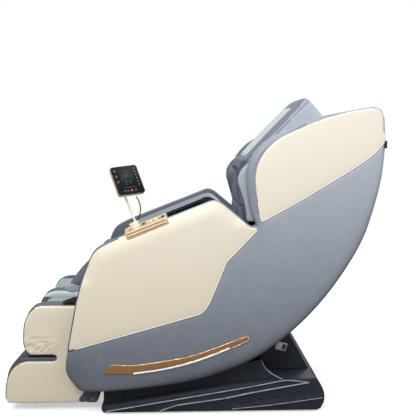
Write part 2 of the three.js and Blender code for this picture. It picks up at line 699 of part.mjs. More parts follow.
  // Lead from the lower edge of the tablet to the swivel.
  const leadTop = new THREE.Vector3(centre.x + 12, centre.y - TABLET.height / 2 - 9, centre.z - 2);
  leadTop.applyMatrix4(tablet.matrix);
  const leadFoot = new THREE.Vector3(DISC.x + 16, DISC.y + 3, DISC.top + 2).applyMatrix4(arm.matrix);
  const path = new THREE.CatmullRomCurve3([
    leadTop,
    new THREE.Vector3(leadTop.x + 16, leadFoot.y, leadTop.z - 32),
    new THREE.Vector3(leadFoot.x + 1, leadFoot.y, leadFoot.z + 38),
    leadFoot,
  ]);
  const wire = new THREE.Shape().absarc(0, 0, 2, 0, 2 * Math.PI);
  const lead = new THREE.ExtrudeGeometry(wire, { steps: 12, curveSegments: 4, extrudePath: path });
  place('tablet_cable', lead, rubber);
}

// ---------------------------------------------------------------- leg rest
const FOOT_SLOT = { rear: -523, low: 204, high: 231 };
const CALF_BACK = -449;                // front face of the wall behind the calves
const WELL = [46, 245];                // y of a calf well
const LEG_BOTTOM = 36;
const LEG_TOP = 430;
const ROLLER = { x: -600, z: 88, shaft: 8, bulge: 22 };

// Outline of the leg rest in side view; the cream panels are inset and slotted above the foot.
function legOutline(inset, top, isPanel) {
  const bottom = LEG_BOTTOM + inset / 2;
  const outline = new THREE.Shape();
  outline.moveTo(-414, bottom);
  outline.lineTo(-712, bottom);
  outline.quadraticCurveTo(-729 + inset, 38, -729 + inset, 60);
  if (isPanel) {
    through(outline, [[-724, 95], [-717, 134], [-701, 170], [-675, 194], [-640, FOOT_SLOT.low]]);
    outline.lineTo(FOOT_SLOT.rear, FOOT_SLOT.low);
    outline.lineTo(FOOT_SLOT.rear, FOOT_SLOT.high);
    outline.lineTo(-628, FOOT_SLOT.high);
  } else {
    through(outline, [[-729, 100], [-724, 146], [-710, 178], [-690, 203], [-668, 228]]);
  }
  through(outline, [[-646 + inset, 250], [-654 + inset, 274], [-654 + inset, 312],
    [-650 + inset, 352], [-640 + inset, top - 43], [-626 + inset, top - 21],
    [-606 + inset, top - 6], [-580, top]]);
  outline.lineTo(-380, top);
  outline.lineTo(-380, 76);
  outline.closePath();
  return outline;
}

function legShell() {
  const whole = toSolid(slab(legOutline(0, LEG_TOP, false), -LEG_HALF, LEG_HALF));
  const cuts = [
    box(-441, -300, -240, 240, 76, 500),
    box(-480, CALF_BACK, -WELL[0] - 1, WELL[0] + 1, 262, 500),
    bore(ROLLER.x, ROLLER.z, -252, 252, ROLLER.shaft + 0.6),
  ];
  for (const [, side] of bothSides) {
    cuts.push(box(-760, CALF_BACK, side * WELL[0], side * WELL[1], 232, 500));
    cuts.push(box(-760, -510, side * 52, side * 240, 70, 240));
    cuts.push(box(-628, -572, side * 60, side * 230, 58, 80));
  }
  return cut(whole, ...cuts);
}

function footRoller() {
  const profile = [[0, -250], [ROLLER.shaft, -250], [ROLLER.shaft, -218]];
  for (const [start, end] of [[-218, -74], [74, 218]]) {
    for (let bump = 0; bump < 3; bump += 1) {
      const from = start + (end - start) * bump / 3;
      const to = start + (end - start) * (bump + 1) / 3;
      profile.push([ROLLER.shaft + 5, from + 2], [ROLLER.bulge, (from + to) / 2 - 7]);
      profile.push([ROLLER.bulge, (from + to) / 2 + 7], [ROLLER.shaft + 5, to - 2]);
    }
    profile.push([ROLLER.shaft, end], [ROLLER.shaft, end < 0 ? 74 : 250]);
  }
  profile.push([0, 250]);
  const points = profile.map(([radius, y]) => new THREE.Vector2(radius, y));
  return new THREE.LatheGeometry(points, 12).translate(ROLLER.x, 0, ROLLER.z);
}

function legLiftFrame() {
  const [lx, lz] = LEG_PIVOT;
  const [ax, az] = LEG_ACTUATOR_HEAD;
  const pieces = [
    box(-438, -420, -144, 144, az - 14, az + 14),
    box(-438, -420, -144, 144, 150, 174),
  ];
  for (const [, side] of bothSides) {
    pieces.push(box(-438, -414, side * 120, side * 144, 130, 441));
    pieces.push(box(-436, lx + 17, side * 142, side * 150, lz - 17, lz + 15));
    pieces.push(pin(lx, lz, side * 146, side * 172, LEG_PIN_RADIUS));
    pieces.push(box(-424, ax + 15, side * 20, side * 26, az - 14, az + 14));
  }
  return join(...pieces);
}

function legBackCover() {
  const outline = polygon([
    [-413, 36], [-374, 36], [-366, 46], [-366, 150], [-379, 150], [-379, 75],
  ]);
  return slab(outline, -LEG_FACE + 1, LEG_FACE - 1);
}

function buildLegRest() {
  place('leg_lift_frame', legLiftFrame(), steel);
  place('leg_shell', legShell(), greyLeather);
  const calf = box(-480 + GAP, CALF_BACK - GAP, -WELL[1] + 1, WELL[1] - 1, 263, LEG_TOP - 8);
  place('calf_pad', calf, tealKnit);
  place('leg_back_cover', legBackCover(), darkPlastic);
  place('foot_roller', footRoller(), rubber);
  for (const [hand, side] of bothSides) {
    const panel = slab(legOutline(4, LEG_TOP - 6, true), side * (LEG_HALF + GAP), side * LEG_FACE);
    place(`leg_panel_${hand}`, panel, creamLeather);
  }
}

// ---------------------------------------------------------------- assembly
buildBase();
place('seat_frame', seatFrame(), steel);
place('back_frame', backFrame(), steel);
for (const [hand, side] of bothSides) {
  place(`guide_rail_${hand}`, guideRail(side), brightSteel);
  place(`massage_arm_${hand}`, massageArm(side), darkPlastic);
}
place('carriage_frame', carriageFrame(), steel);
actuator('recline_actuator', RECLINE_FOOT, RECLINE_LUG, 215, 20, 10, 1);
actuator('leg_actuator', LEG_ACTUATOR_FOOT, LEG_ACTUATOR_HEAD, 250, 18, 9, -1);
buildShells();
place('back_shell', backShell(), greyLeather);
buildCushions();
buildControls();
buildLegRest();

export default model;
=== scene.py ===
import json
import math

import bmesh
import bpy
import numpy as np
from mathutils import Matrix, Vector
from mathutils.geometry import delaunay_2d_cdt


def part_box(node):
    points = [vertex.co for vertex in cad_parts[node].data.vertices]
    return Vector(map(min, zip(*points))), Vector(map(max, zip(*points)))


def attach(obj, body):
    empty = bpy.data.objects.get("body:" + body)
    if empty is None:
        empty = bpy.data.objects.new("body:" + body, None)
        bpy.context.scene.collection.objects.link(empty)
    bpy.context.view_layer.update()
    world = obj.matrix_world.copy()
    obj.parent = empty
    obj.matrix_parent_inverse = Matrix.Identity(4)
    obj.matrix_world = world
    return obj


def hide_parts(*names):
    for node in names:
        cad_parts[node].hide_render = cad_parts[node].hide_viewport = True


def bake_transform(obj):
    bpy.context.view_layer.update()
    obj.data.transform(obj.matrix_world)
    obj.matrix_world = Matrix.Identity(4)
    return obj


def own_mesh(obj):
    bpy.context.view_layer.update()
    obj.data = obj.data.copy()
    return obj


# Lengths in this script are millimetres until a mesh is made; MM turns them into metres.
MM = 0.001
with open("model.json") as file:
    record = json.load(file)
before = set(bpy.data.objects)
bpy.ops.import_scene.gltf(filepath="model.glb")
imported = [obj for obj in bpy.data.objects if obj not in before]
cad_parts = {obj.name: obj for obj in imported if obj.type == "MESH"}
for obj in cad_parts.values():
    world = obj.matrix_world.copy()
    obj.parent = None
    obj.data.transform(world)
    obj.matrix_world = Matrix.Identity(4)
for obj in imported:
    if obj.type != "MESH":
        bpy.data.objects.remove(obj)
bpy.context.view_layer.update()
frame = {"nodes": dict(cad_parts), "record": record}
SIDES = {"left": -1, "right": 1}


# ------------------------------------------------------------------ materials
def shader(name):
    mat = bpy.data.materials.new(name)
    mat.use_nodes = True
    tree = mat.node_tree
    return mat, tree, tree.nodes["Principled BSDF"]


def coords(tree, scale):
    where = tree.nodes.new("ShaderNodeTexCoord")
    mapping = tree.nodes.new("ShaderNodeMapping")
    mapping.inputs["Scale"].default_value = scale if hasattr(scale, "__len__") else (scale,) * 3
    tree.links.new(where.outputs["Object"], mapping.inputs["Vector"])
    return mapping.outputs["Vector"]


def texture(tree, kind, scale, **inputs):
    node = tree.nodes.new(kind)
    tree.links.new(coords(tree, scale), node.inputs["Vector"])
    for key, value in inputs.items():
        node.inputs[key].default_value = value
    return node


def ramp(tree, source, low, high, start=0.0, end=1.0):
    node = tree.nodes.new("ShaderNodeMapRange")
    node.inputs["From Min"].default_value = start
    node.inputs["From Max"].default_value = end
    node.inputs["To Min"].default_value = low
    node.inputs["To Max"].default_value = high
    tree.links.new(source, node.inputs["Value"])
    return node.outputs["Result"]


def tint(tree, shade, base, other):
    mix = tree.nodes.new("ShaderNodeMix")
    mix.data_type = "RGBA"
    mix.inputs["A"].default_value = (*base, 1)
    mix.inputs["B"].default_value = (*other, 1)
    tree.links.new(shade, mix.inputs["Factor"])
    return mix.outputs["Result"]


def bumps(tree, bsdf, layers):
    previous = None
    for height, strength, distance in layers:
        bump = tree.nodes.new("ShaderNodeBump")
        bump.inputs["Strength"].default_value = strength
        bump.inputs["Distance"].default_value = distance * MM
        tree.links.new(height, bump.inputs["Height"])
        if previous:
            tree.links.new(previous, bump.inputs["Normal"])
        previous = bump.outputs["Normal"]
    tree.links.new(previous, bsdf.inputs["Normal"])


def height_above_floor(tree):
    """0 near the floor, 1 at the top of the chair, with a slight cloudiness."""
    cloud = texture(tree, "ShaderNodeTexNoise", 7, Detail=5.0, Roughness=0.5)
    split = tree.nodes.new("ShaderNodeSeparateXYZ")
    tree.links.new(coords(tree, 1), split.inputs["Vector"])
    both = tree.nodes.new("ShaderNodeMath")
    tree.links.new(ramp(tree, split.outputs["Z"], 0.0, 1.0, 0.18, 1.1), both.inputs[0])
    tree.links.new(ramp(tree, cloud.outputs["Fac"], -0.03, 0.03, 0.3, 0.7), both.inputs[1])
    return both.outputs[0]


def leather(name, low, high, rough=0.42, wrinkle=0.25, edge=None):
    """Grained leather, darker low down and towards `edge` where a mesh asks for it: both are painted shade."""
    mat, tree, bsdf = shader(name)
    cells = texture(tree, "ShaderNodeTexVoronoi", 620)
    fine = texture(tree, "ShaderNodeTexNoise", 900, Detail=2.0)
    folds = texture(tree, "ShaderNodeTexNoise", (34, 34, 22), Detail=5.0, Distortion=1.2)
    # Painted shade: the colour runs from low near the floor to high at the top, so the leather is darker low down.
    colour = tint(tree, height_above_floor(tree), low, high)
    if edge:
        shade = tree.nodes.new("ShaderNodeAttribute")
        shade.attribute_name = "edge_shade"
        both = tree.nodes.new("ShaderNodeMix")
        both.data_type = "RGBA"
        both.inputs["B"].default_value = (*edge, 1)
        tree.links.new(shade.outputs["Fac"], both.inputs["Factor"])
        tree.links.new(colour, both.inputs["A"])
        colour = both.outputs["Result"]
    tree.links.new(colour, bsdf.inputs["Base Color"])
    tree.links.new(ramp(tree, cells.outputs["Distance"], rough - 0.05, rough + 0.1), bsdf.inputs["Roughness"])
    bsdf.inputs["Specular IOR Level"].default_value = 0.42
    bumps(tree, bsdf, [
        (cells.outputs["Distance"], 0.28, 0.35),
        (fine.outputs["Fac"], 0.12, 0.2),
        (folds.outputs["Fac"], wrinkle, 1.6),
    ])
    return mat


def knit(name, base, other):
    mat, tree, bsdf = shader(name)
    warp = texture(tree, "ShaderNodeTexWave", 190, Distortion=1.2, Detail=2.0)
    weft = texture(tree, "ShaderNodeTexWave", 190, Distortion=1.2, Detail=2.0)
    weft.bands_direction = "Z"
    warp.bands_direction = "Y"
    both = tree.nodes.new("ShaderNodeMath")
    both.operation = "MULTIPLY"
    tree.links.new(warp.outputs["Fac"], both.inputs[0])
    tree.links.new(weft.outputs["Fac"], both.inputs[1])
    cloud = texture(tree, "ShaderNodeTexNoise", 12, Detail=3.0)
    tree.links.new(tint(tree, both.outputs[0], other, base), bsdf.inputs["Base Color"])
    bsdf.inputs["Roughness"].default_value = 0.85
    bsdf.inputs["Sheen Weight"].default_value = 0.3
    bumps(tree, bsdf, [(both.outputs[0], 0.6, 0.8), (cloud.outputs["Fac"], 0.3, 3.0)])
    return mat


def hard(name, base, other, rough=0.35, metal=0.0, grain=400, coat=0.0, bump=0.06, gloss=0.5):
    mat, tree, bsdf = shader(name)
    cloud = texture(tree, "ShaderNodeTexNoise", 9, Detail=5.0)
    speck = texture(tree, "ShaderNodeTexNoise", grain, Detail=3.0)
    shade = ramp(tree, cloud.outputs["Fac"], 0.0, 1.0, 0.35, 0.7)
    tree.links.new(tint(tree, shade, base, other), bsdf.inputs["Base Color"])
    tree.links.new(ramp(tree, cloud.outputs["Fac"], rough - 0.06, rough + 0.08), bsdf.inputs["Roughness"])
    bsdf.inputs["Metallic"].default_value = metal
    bsdf.inputs["Coat Weight"].default_value = coat
    bsdf.inputs["Specular IOR Level"].default_value = gloss
    bumps(tree, bsdf, [(speck.outputs["Fac"], bump, 0.3)])
    return mat


def srgb(r, g, b):
    return tuple(((c / 255 + 0.055) / 1.055) ** 2.4 if c > 10 else c / 255 / 12.92 for c in (r, g, b))


# Each leather below is painted darker low down, as painted shade. GREY_LIGHT, GREY_RIM and GREY_DARK are lighter and
# darker copies of the grey leather; where they stand in for light and shade, the comments where they are used say so.
GREY = leather("grey_leather", srgb(100, 106, 115), srgb(179, 187, 198), 0.42, 0.12)
# GREY_SHELL: grey leather that is also darkened, as painted shade, where the mesh's edge_shade attribute is high.
GREY_SHELL = leather("grey_leather_shell", srgb(100, 106, 115), srgb(179, 187, 198), 0.42, 0.1, srgb(50, 54, 60))
GREY_LIGHT = leather("grey_leather_light", srgb(126, 133, 144), srgb(176, 184, 195))
# GREY_RIM: a darker copy of the grey leather; on the wing's wide front rim it is painted shade.
GREY_RIM = leather("grey_leather_rim", srgb(84, 90, 100), srgb(146, 154, 166))
GREY_DARK = leather("grey_leather_dark", srgb(72, 78, 88), srgb(112, 119, 131), 0.5)
CREAM = leather("cream_leather", srgb(212, 203, 181), srgb(239, 232, 216), 0.36, 0.12)
PIPING = leather("cream_piping", srgb(232, 225, 206), srgb(253, 249, 240), 0.36, 0.05)
TEAL = knit("teal_knit", srgb(206, 217, 215), srgb(176, 190, 189))
FELT = leather("black_fabric", srgb(20, 22, 26), srgb(30, 32, 37), 0.8, 0.6)
BASE_BLACK = hard("base_black", srgb(36, 40, 48), srgb(43, 47, 56), 0.5, 0, 500, 0, 0.06, 0.22)
# Pale grey for thin cords along the base's ridges: painted highlights.
BASE_HIGHLIGHT = hard("base_edge", srgb(150, 157, 167), srgb(128, 135, 146), 0.35)
DARK_PLASTIC = hard("dark_plastic", srgb(70, 74, 80), srgb(84, 88, 94), 0.5)
STEEL = hard("frame_steel", srgb(52, 55, 60), srgb(70, 73, 78), 0.45, 0.6, 260, 0, 0.15)
BRIGHT = hard("bright_steel", srgb(190, 194, 200), srgb(170, 174, 180), 0.22, 1.0, 300)
RUBBER = hard("rubber", srgb(28, 28, 30), srgb(40, 40, 42), 0.85, 0, 500, 0, 0.25)
GOLD = hard("gold", srgb(236, 204, 160), srgb(228, 194, 148), 0.26, 0.45, 350, 0.3, 0.005)
GOLD_LIGHT = hard("gold_light", srgb(255, 244, 224), srgb(250, 236, 212), 0.24, 0.2, 350, 0.3, 0.005)
BRONZE = hard("bronze", srgb(160, 114, 72), srgb(150, 106, 64), 0.3, 0.35, 420, 0.3, 0.01)
# Pale bronze for the cord along the top of the trim strip: a painted highlight on its bevel.
BEVEL = hard("bronze_bevel_highlight", srgb(240, 220, 186), srgb(232, 208, 170), 0.24, 0.3, 350, 0.3, 0.01)
LIGHT = hard("light_bar", srgb(250, 250, 252), srgb(240, 242, 246), 0.25)
GLASS = hard("black_glass", srgb(14, 15, 18), srgb(19, 20, 24), 0.2, 0, 300, 0.12, 0.01, 0.12)
RED = hard("red_key", srgb(216, 40, 48), srgb(190, 28, 36), 0.3, 0, 300, 0.4)
ORANGE = hard("orange_dot", srgb(206, 118, 58), srgb(190, 104, 48), 0.4)
BLACK_KEY = hard("black_key", srgb(34, 36, 40), srgb(48, 50, 56), 0.35)
THREAD = hard("thread", srgb(224, 216, 198), srgb(206, 198, 180), 0.7)
THREAD_GREY = hard("thread_grey", srgb(86, 92, 103), srgb(74, 80, 90), 0.7)


# ------------------------------------------------------------------ flat outlines taken from the frame
def arc_lengths(points):
    return np.concatenate([[0], np.cumsum(np.linalg.norm(np.diff(points, axis=0), axis=1))])


def resample(points, step):
    """Points at even steps along a curve through the given ones, ends kept."""
    points = np.asarray(points, float)
    s = arc_lengths(points)
    n = max(2, int(round(s[-1] / step)) + 1)
    wanted = np.linspace(0, s[-1], n)
    if len(points) < 3:
        return np.stack([np.interp(wanted, s, points[:, k]) for k in range(points.shape[1])], 1)
    steps = np.diff(points, axis=0)
    pull = steps * np.linalg.norm(steps, axis=1)[:, None]
    slope = np.concatenate([steps[:1], pull[1:] + pull[:-1], steps[-1:]])
    slope /= np.linalg.norm(slope, axis=1)[:, None]
    i = np.clip(np.searchsorted(s, wanted, "right") - 1, 0, len(s) - 2)
    h = (s[i + 1] - s[i])[:, None]
    t = ((wanted - s[i]) / h[:, 0])[:, None]
    return ((2 * t**3 - 3 * t**2 + 1) * points[i] + (t**3 - 2 * t**2 + t) * h * slope[i]
            + (3 * t**2 - 2 * t**3) * points[i + 1] + (t**3 - t**2) * h * slope[i + 1])


def rounded(loop, step=6.0, corner=48):
    """A closed outline with its gentle turns made round and its corners kept."""
    loop = np.asarray(loop, float)
    ahead = np.roll(loop, -1, 0) - loop
    behind = loop - np.roll(loop, 1, 0)
    turn = np.abs(np.degrees(np.arctan2(
        behind[:, 0] * ahead[:, 1] - behind[:, 1] * ahead[:, 0], (behind * ahead).sum(1))))
    corners = list(np.where(turn > corner)[0]) or [0]
    out = []
    for a, b in zip(corners, corners[1:] + [corners[0] + len(loop)]):
        out.append(resample(loop[np.arange(a, b + 1) % len(loop)], step)[:-1])
    return np.concatenate(out)


def face_loop(node, y):
    """The outline, in x and z, of the flat face that a CAD node has in the plane y."""
    data = frame["nodes"][node].data
    edges = {}
    for poly in data.polygons:
        ring = [data.vertices[i].co / MM for i in poly.vertices]
        if all(abs(c.y - y) < 0.06 for c in ring):
            keys = [(round(c.x, 2), round(c.z, 2)) for c in ring]
            for a, b in zip(keys, keys[1:] + keys[:1]):
                if (b, a) in edges:
                    del edges[(b, a)]
                else:
                    edges[(a, b)] = True
    after = dict(edges.keys())
    loops = []
    while after:
        first, point = next(iter(after.items()))
        ring = [first]
        del after[first]
        while point != first and point in after:
            ring.append(point)
            point = after.pop(point)
        loops.append(ring)
    loop = np.array(max(loops, key=len), float)
    keep = np.linalg.norm(loop - np.roll(loop, 1, 0), axis=1) > 0.05
    loop = loop[keep]
    area = (loop[:, 0] * np.roll(loop[:, 1], -1) - np.roll(loop[:, 0], -1) * loop[:, 1]).sum()
    return loop if area > 0 else loop[::-1]


def distance(points, line, closed=True):
    """How far each point is from a polyline."""
    a = np.asarray(line, float)
    b = np.roll(a, -1, 0) if closed else a[1:]
    a = a if closed else a[:-1]
    along = b - a
    size = (along**2).sum(1)
    best = []
    for block in np.array_split(points, max(1, len(points) * len(a) // 2000000 + 1)):
        t = np.clip(((block[:, None] - a) * along).sum(2) / size, 0, 1)
        best.append(np.sqrt(((block[:, None] - a - t[..., None] * along) ** 2).sum(2)).min(1))
    return np.concatenate(best)


def within(points, loop):
    x, z = points[:, 0][:, None], points[:, 1][:, None]
    a, b = loop, np.roll(loop, -1, 0)
    crosses = (a[:, 1] > z) != (b[:, 1] > z)
    rise = np.where(np.abs(b[:, 1] - a[:, 1]) < 1e-9, 1e-9, b[:, 1] - a[:, 1])
    return ((crosses & (x < (b[:, 0] - a[:, 0]) * (z - a[:, 1]) / rise + a[:, 0])).sum(1) % 2) == 1


def offset(loop, depth):
    """Points at a depth inside a closed outline (outside when negative)."""
    edge = np.roll(loop, -1, 0) - np.roll(loop, 1, 0)
    normal = np.stack([-edge[:, 1], edge[:, 0]], 1)
    normal /= np.linalg.norm(normal, axis=1)[:, None] + 1e-9
    moved = loop + normal * depth
    return moved[distance(moved, loop) > abs(depth) * 0.93]


def sheet(loop, step, depths, lines=()):
    """Triangles that fill an outline, finer along its edge and along the given lines."""
    lo, hi = loop.min(0), loop.max(0)
    rows = np.arange(lo[1] + step / 2, hi[1], step * 0.87)
    grid = np.concatenate([
        np.stack([np.arange(lo[0] + (k % 2) * step / 2, hi[0], step), np.full(
            len(np.arange(lo[0] + (k % 2) * step / 2, hi[0], step)), z)], 1)
        for k, z in enumerate(rows)])
    rings = [offset(loop, depth) for depth in depths]
    near = [offset(line, depth) for line, offsets in lines for depth in offsets]
    near = np.concatenate(near) if near else np.zeros((0, 2))
    if len(near):
        near = near[within(near, loop)]
        near = near[distance(near, loop) > depths[-1]]
    grid = grid[within(grid, loop)]
    grid = grid[distance(grid, loop) > depths[-1] + step * 0.4]
    for line, offsets in lines:
        grid = grid[distance(grid, line) > max(abs(o) for o in offsets) + step * 0.3]
    points = np.concatenate([loop, *rings, near, grid])
    verts, _, faces, origin, _, _ = delaunay_2d_cdt(
        [Vector(p) for p in points], [], [list(range(len(loop)))], 1, 1e-4)
    index = {}
    for new, olds in enumerate(origin):
        for old in olds:
            index[old] = new
    flat = np.array([tuple(v) for v in verts], float)
    edge = [index[k] for k in range(len(loop))]
    return flat, [tuple(f) for f in faces], edge


# ------------------------------------------------------------------ meshes
def mesh(name, verts, faces, material, body, slot=None, sharp=40, replaces=()):
    data = bpy.data.meshes.new(name)
    data.from_pydata([tuple(c * MM for c in v) for v in verts], [], faces)
    obj = bpy.data.objects.new(name, data)
    bpy.context.scene.collection.objects.link(obj)
    clean(obj, sharp)
    return dress(obj, material, body, replaces)


def clean(obj, sharp=40):
    work = bmesh.new()
    work.from_mesh(obj.data)
    bmesh.ops.remove_doubles(work, verts=work.verts, dist=0.00002)
    bmesh.ops.recalc_face_normals(work, faces=work.faces)
    work.to_mesh(obj.data)
    work.free()
    for poly in obj.data.polygons:
        poly.use_smooth = True
    if sharp:
        obj.data.set_sharp_from_angle(angle=math.radians(sharp))


def dress(obj, material, body, replaces=()):
    which = np.zeros(len(obj.data.polygons), np.int32)
    obj.data.polygons.foreach_get("material_index", which)
    obj.data.materials.clear()
    for one in material if isinstance(material, (list, tuple)) else [material]:
        obj.data.materials.append(one)
    obj.data.polygons.foreach_set("material_index", which if isinstance(material, (list, tuple)) else which * 0)
    if body:
        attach(obj, body)
    if replaces:
        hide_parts(*replaces)
    return obj


def roll(d, radius):
    """How far a rounded edge has fallen at a distance d from the border."""
    t = np.clip((radius - d) / radius, 0, 1)
    return radius * (1 - np.sqrt(np.clip(1 - t * t, 0, 1)))


def roll_rings(radius, steps=5):
    return [radius * (1 - math.cos(math.pi / 2 * k / steps)) for k in range(1, steps + 1)]


def pad(name, loop, side, front, back, material, body, step=14, rings=None, lines=(), wall=3, **more):
    """A closed panel: an outline in x and z, with its outer and inner faces given as y(points, depth)."""
    rings = rings or roll_rings(10)
    flat, tris, edge = sheet(loop, step, rings, lines)
    depth = distance(flat, loop)
    depth[edge] = 0
    y_front, y_back = front(flat, depth), back(flat, depth)
    outer = [(x, side * y, z) for (x, z), y in zip(flat, y_front)]
    inner = [(x, side * y, z) for (x, z), y in zip(flat, y_back)]
    verts = outer + inner
    faces = list(tris) + [tuple(len(flat) + i for i in reversed(t)) for t in tris]
    previous = list(edge)
    for k in range(1, wall + 1):
        if k == wall:
            current = [len(flat) + i for i in edge]
        else:
            current = list(range(len(verts), len(verts) + len(edge)))
            for i in edge:
                y = y_front[i] + (y_back[i] - y_front[i]) * k / wall
                verts.append((flat[i][0], side * y, flat[i][1]))
        for j in range(len(edge)):
            n = (j + 1) % len(edge)
            faces.append((previous[j], previous[n], current[n], current[j]))
        previous = current
    return mesh(name, verts, faces, material, body, **more)


def tube(name, path, radius, material, body, sides=8, closed=False, slot=None):
    """A round cord along a path of points (mm)."""
    path = [Vector(p) for p in path]
    n = len(path)
    verts, faces = [], []
    up = Vector((0.13, 0.2, 1)).normalized()
    for k, p in enumerate(path):
        ahead = path[(k + 1) % n] if closed or k < n - 1 else p
        behind = path[k - 1] if closed or k > 0 else p
        tangent = (ahead - behind).normalized()
        up = (up - tangent * up.dot(tangent)).normalized()
        cross = tangent.cross(up)
        for j in range(sides):
            a = 2 * math.pi * j / sides
            verts.append(p + (up * math.cos(a) + cross * math.sin(a)) * radius)
    for k in range(n if closed else n - 1):
        for j in range(sides):
            m = (j + 1) % sides
            b = ((k + 1) % n) * sides
            faces.append((k * sides + j, k * sides + m, b + m, b + j))
    if not closed:
        faces.append(tuple(range(sides - 1, -1, -1)))
        faces.append(tuple((n - 1) * sides + j for j in range(sides)))
    return mesh(name, verts, faces, material, body, slot, 60)


def stitches(name, path, material, body, pitch=8.0, width=1.4, slot=None):
    """A row of short raised stitches along a path of points (mm)."""
    path = resample(np.array([tuple(p) for p in path]), pitch / 2)
    verts, faces = [], []
    for k in range(0, len(path) - 1, 2):
        a, b = Vector(path[k]), Vector(path[k + 1])
        along = b - a
        if along.length < 0.1:
            continue
        side = along.cross(Vector((0, 1, 0)))
        if side.length < 1e-6:
            side = along.cross(Vector((0, 0, 1)))
        side = side.normalized() * width / 2
        lift = along.cross(side).normalized() * width / 2
        base = len(verts)
        middle = (a + b) / 2
        verts += [a, b, middle + side, middle - side, middle + lift, middle - lift]
        for i, j in ((2, 4), (4, 3), (3, 5), (5, 2)):
            faces.append((base, base + i, base + j))
            faces.append((base + 1, base + j, base + i))
    return mesh(name, verts, faces, material, body, slot, 0)


# ------------------------------------------------------------------ soft pieces
def copy_of(name, *nodes):
    """A new mesh that starts as a copy of CAD nodes."""
    work = bmesh.new()
    for node in nodes:
        work.from_mesh(frame["nodes"][node].data)
    bmesh.ops.remove_doubles(work, verts=work.verts, dist=0.00002)
    data = bpy.data.meshes.new(name)
    work.to_mesh(data)
    work.free()
    obj = bpy.data.objects.new(name, data)
    bpy.context.scene.collection.objects.link(obj)
    return obj


def prism(name, shape, y0, y1):
    """A block with the given side view (x, z), between two y values."""
    n = len(shape)
    verts = [(x, y, z) for y in (y0, y1) for x, z in shape]
    faces = [tuple(range(n)), tuple(range(2 * n - 1, n - 1, -1))]
    faces += [(k, n + k, n + (k + 1) % n, (k + 1) % n) for k in range(n)]
    data = bpy.data.meshes.new(name)
    data.from_pydata([tuple(c * MM for c in v) for v in verts], [], faces)
    obj = bpy.data.objects.new(name, data)
    bpy.context.scene.collection.objects.link(obj)
    work = bmesh.new()
    work.from_mesh(data)
    bmesh.ops.recalc_face_normals(work, faces=work.faces)
    work.to_mesh(data)
    work.free()
    return obj


def apply_modifiers(obj):
    bpy.context.view_layer.update()
    evaluated = obj.evaluated_get(bpy.context.evaluated_depsgraph_get())
    data = bpy.data.meshes.new_from_object(evaluated)
    obj.modifiers.clear()
    obj.data = data
    return obj


def get_points(obj):
    points = np.zeros(len(obj.data.vertices) * 3)
    obj.data.vertices.foreach_get("co", points)
    return points.reshape(-1, 3) / MM


def set_points(obj, points):
    obj.data.vertices.foreach_set("co", (np.asarray(points) * MM).ravel())
    obj.data.update()


def soften(obj, voxel=6.0, rounds=8, shrink=0.0):
    """Even quads over the whole piece, with its edges rounded off."""
    remesh = obj.modifiers.new("remesh", "REMESH")
    remesh.mode = "VOXEL"
    remesh.voxel_size = voxel * MM
    if rounds:
        smooth = obj.modifiers.new("smooth", "SMOOTH")
        smooth.factor = 0.6
        smooth.iterations = rounds
    if shrink:
        displace = obj.modifiers.new("shrink", "DISPLACE")
        displace.strength = -shrink * MM
        displace.mid_level = 0
    return apply_modifiers(obj)


def inflate(obj, pressure=4.0, cap=12.0, pins=None, frames=20):
    """Fills the piece with air as cloth; pinned points (seams, undersides) stay."""
    before = get_points(obj)
    if pins is not None:
        group = obj.vertex_groups.new(name="seams")
        for weight in (0.5, 1.0):
            chosen = np.where(np.isclose(pins(before), weight))[0]
            if len(chosen):
                group.add([int(i) for i in chosen], weight, "REPLACE")
    cloth = obj.modifiers.new("cloth", "CLOTH")
    s = cloth.settings
    s.quality = 4
    s.mass = 0.35
    s.tension_stiffness = s.compression_stiffness = 12
    s.shear_stiffness = 8
    s.bending_stiffness = 0.4
    s.use_pressure = True
    s.uniform_pressure_force = pressure
    s.effector_weights.gravity = 0
    if pins is not None:
        s.vertex_group_mass = "seams"
    cloth.point_cache.frame_start = 1
    cloth.point_cache.frame_end = frames
    for number in range(1, frames + 1):
        bpy.context.scene.frame_set(number)
    apply_modifiers(obj)
    bpy.context.scene.frame_set(1)
    moved = get_points(obj) - before
    length = np.linalg.norm(moved, axis=1)[:, None]
    set_points(obj, before + moved * np.minimum(1, cap / np.maximum(length, 1e-9)))
    return obj


def subdivide(obj, levels=1):
    sub = obj.modifiers.new("sub", "SUBSURF")
    sub.levels = sub.render_levels = levels
    return apply_modifiers(obj)


def push(obj, amount):
    """Moves each point along its own normal by amount(points, normals), in mm."""
    points = get_points(obj)
    normals = np.zeros(len(points) * 3)
    obj.data.vertices.foreach_get("normal", normals)
    normals = normals.reshape(-1, 3)
    set_points(obj, points + normals * amount(points, normals)[:, None])
    return obj


def paint(obj, chooser):
    """Gives each face the material number that chooser(centres, normals) returns."""
    centres = np.zeros(len(obj.data.polygons) * 3)
    normals = centres.copy()
    obj.data.polygons.foreach_get("center", centres)
    obj.data.polygons.foreach_get("normal", normals)
    which = chooser(centres.reshape(-1, 3) / MM, normals.reshape(-1, 3))
    obj.data.polygons.foreach_set("material_index", which.astype(np.int32))
    return obj


def mirrored(obj, name):
    """The same piece on the other side of the chair."""
    data = obj.data.copy()
    other = bpy.data.objects.new(name, data)
    bpy.context.scene.collection.objects.link(other)
    points = get_points(other)
    points[:, 1] *= -1
    set_points(other, points)
    data.flip_normals()
    return other


def groove(d, depth=2.5, width=4.0):
    return -depth * np.exp(-((d / width) ** 2))


# ------------------------------------------------------------------ hard pieces, softened at their edges
BODY_OF = {node: body for body, nodes in frame["record"]["behaviour"]["bodies"].items() for node in nodes}


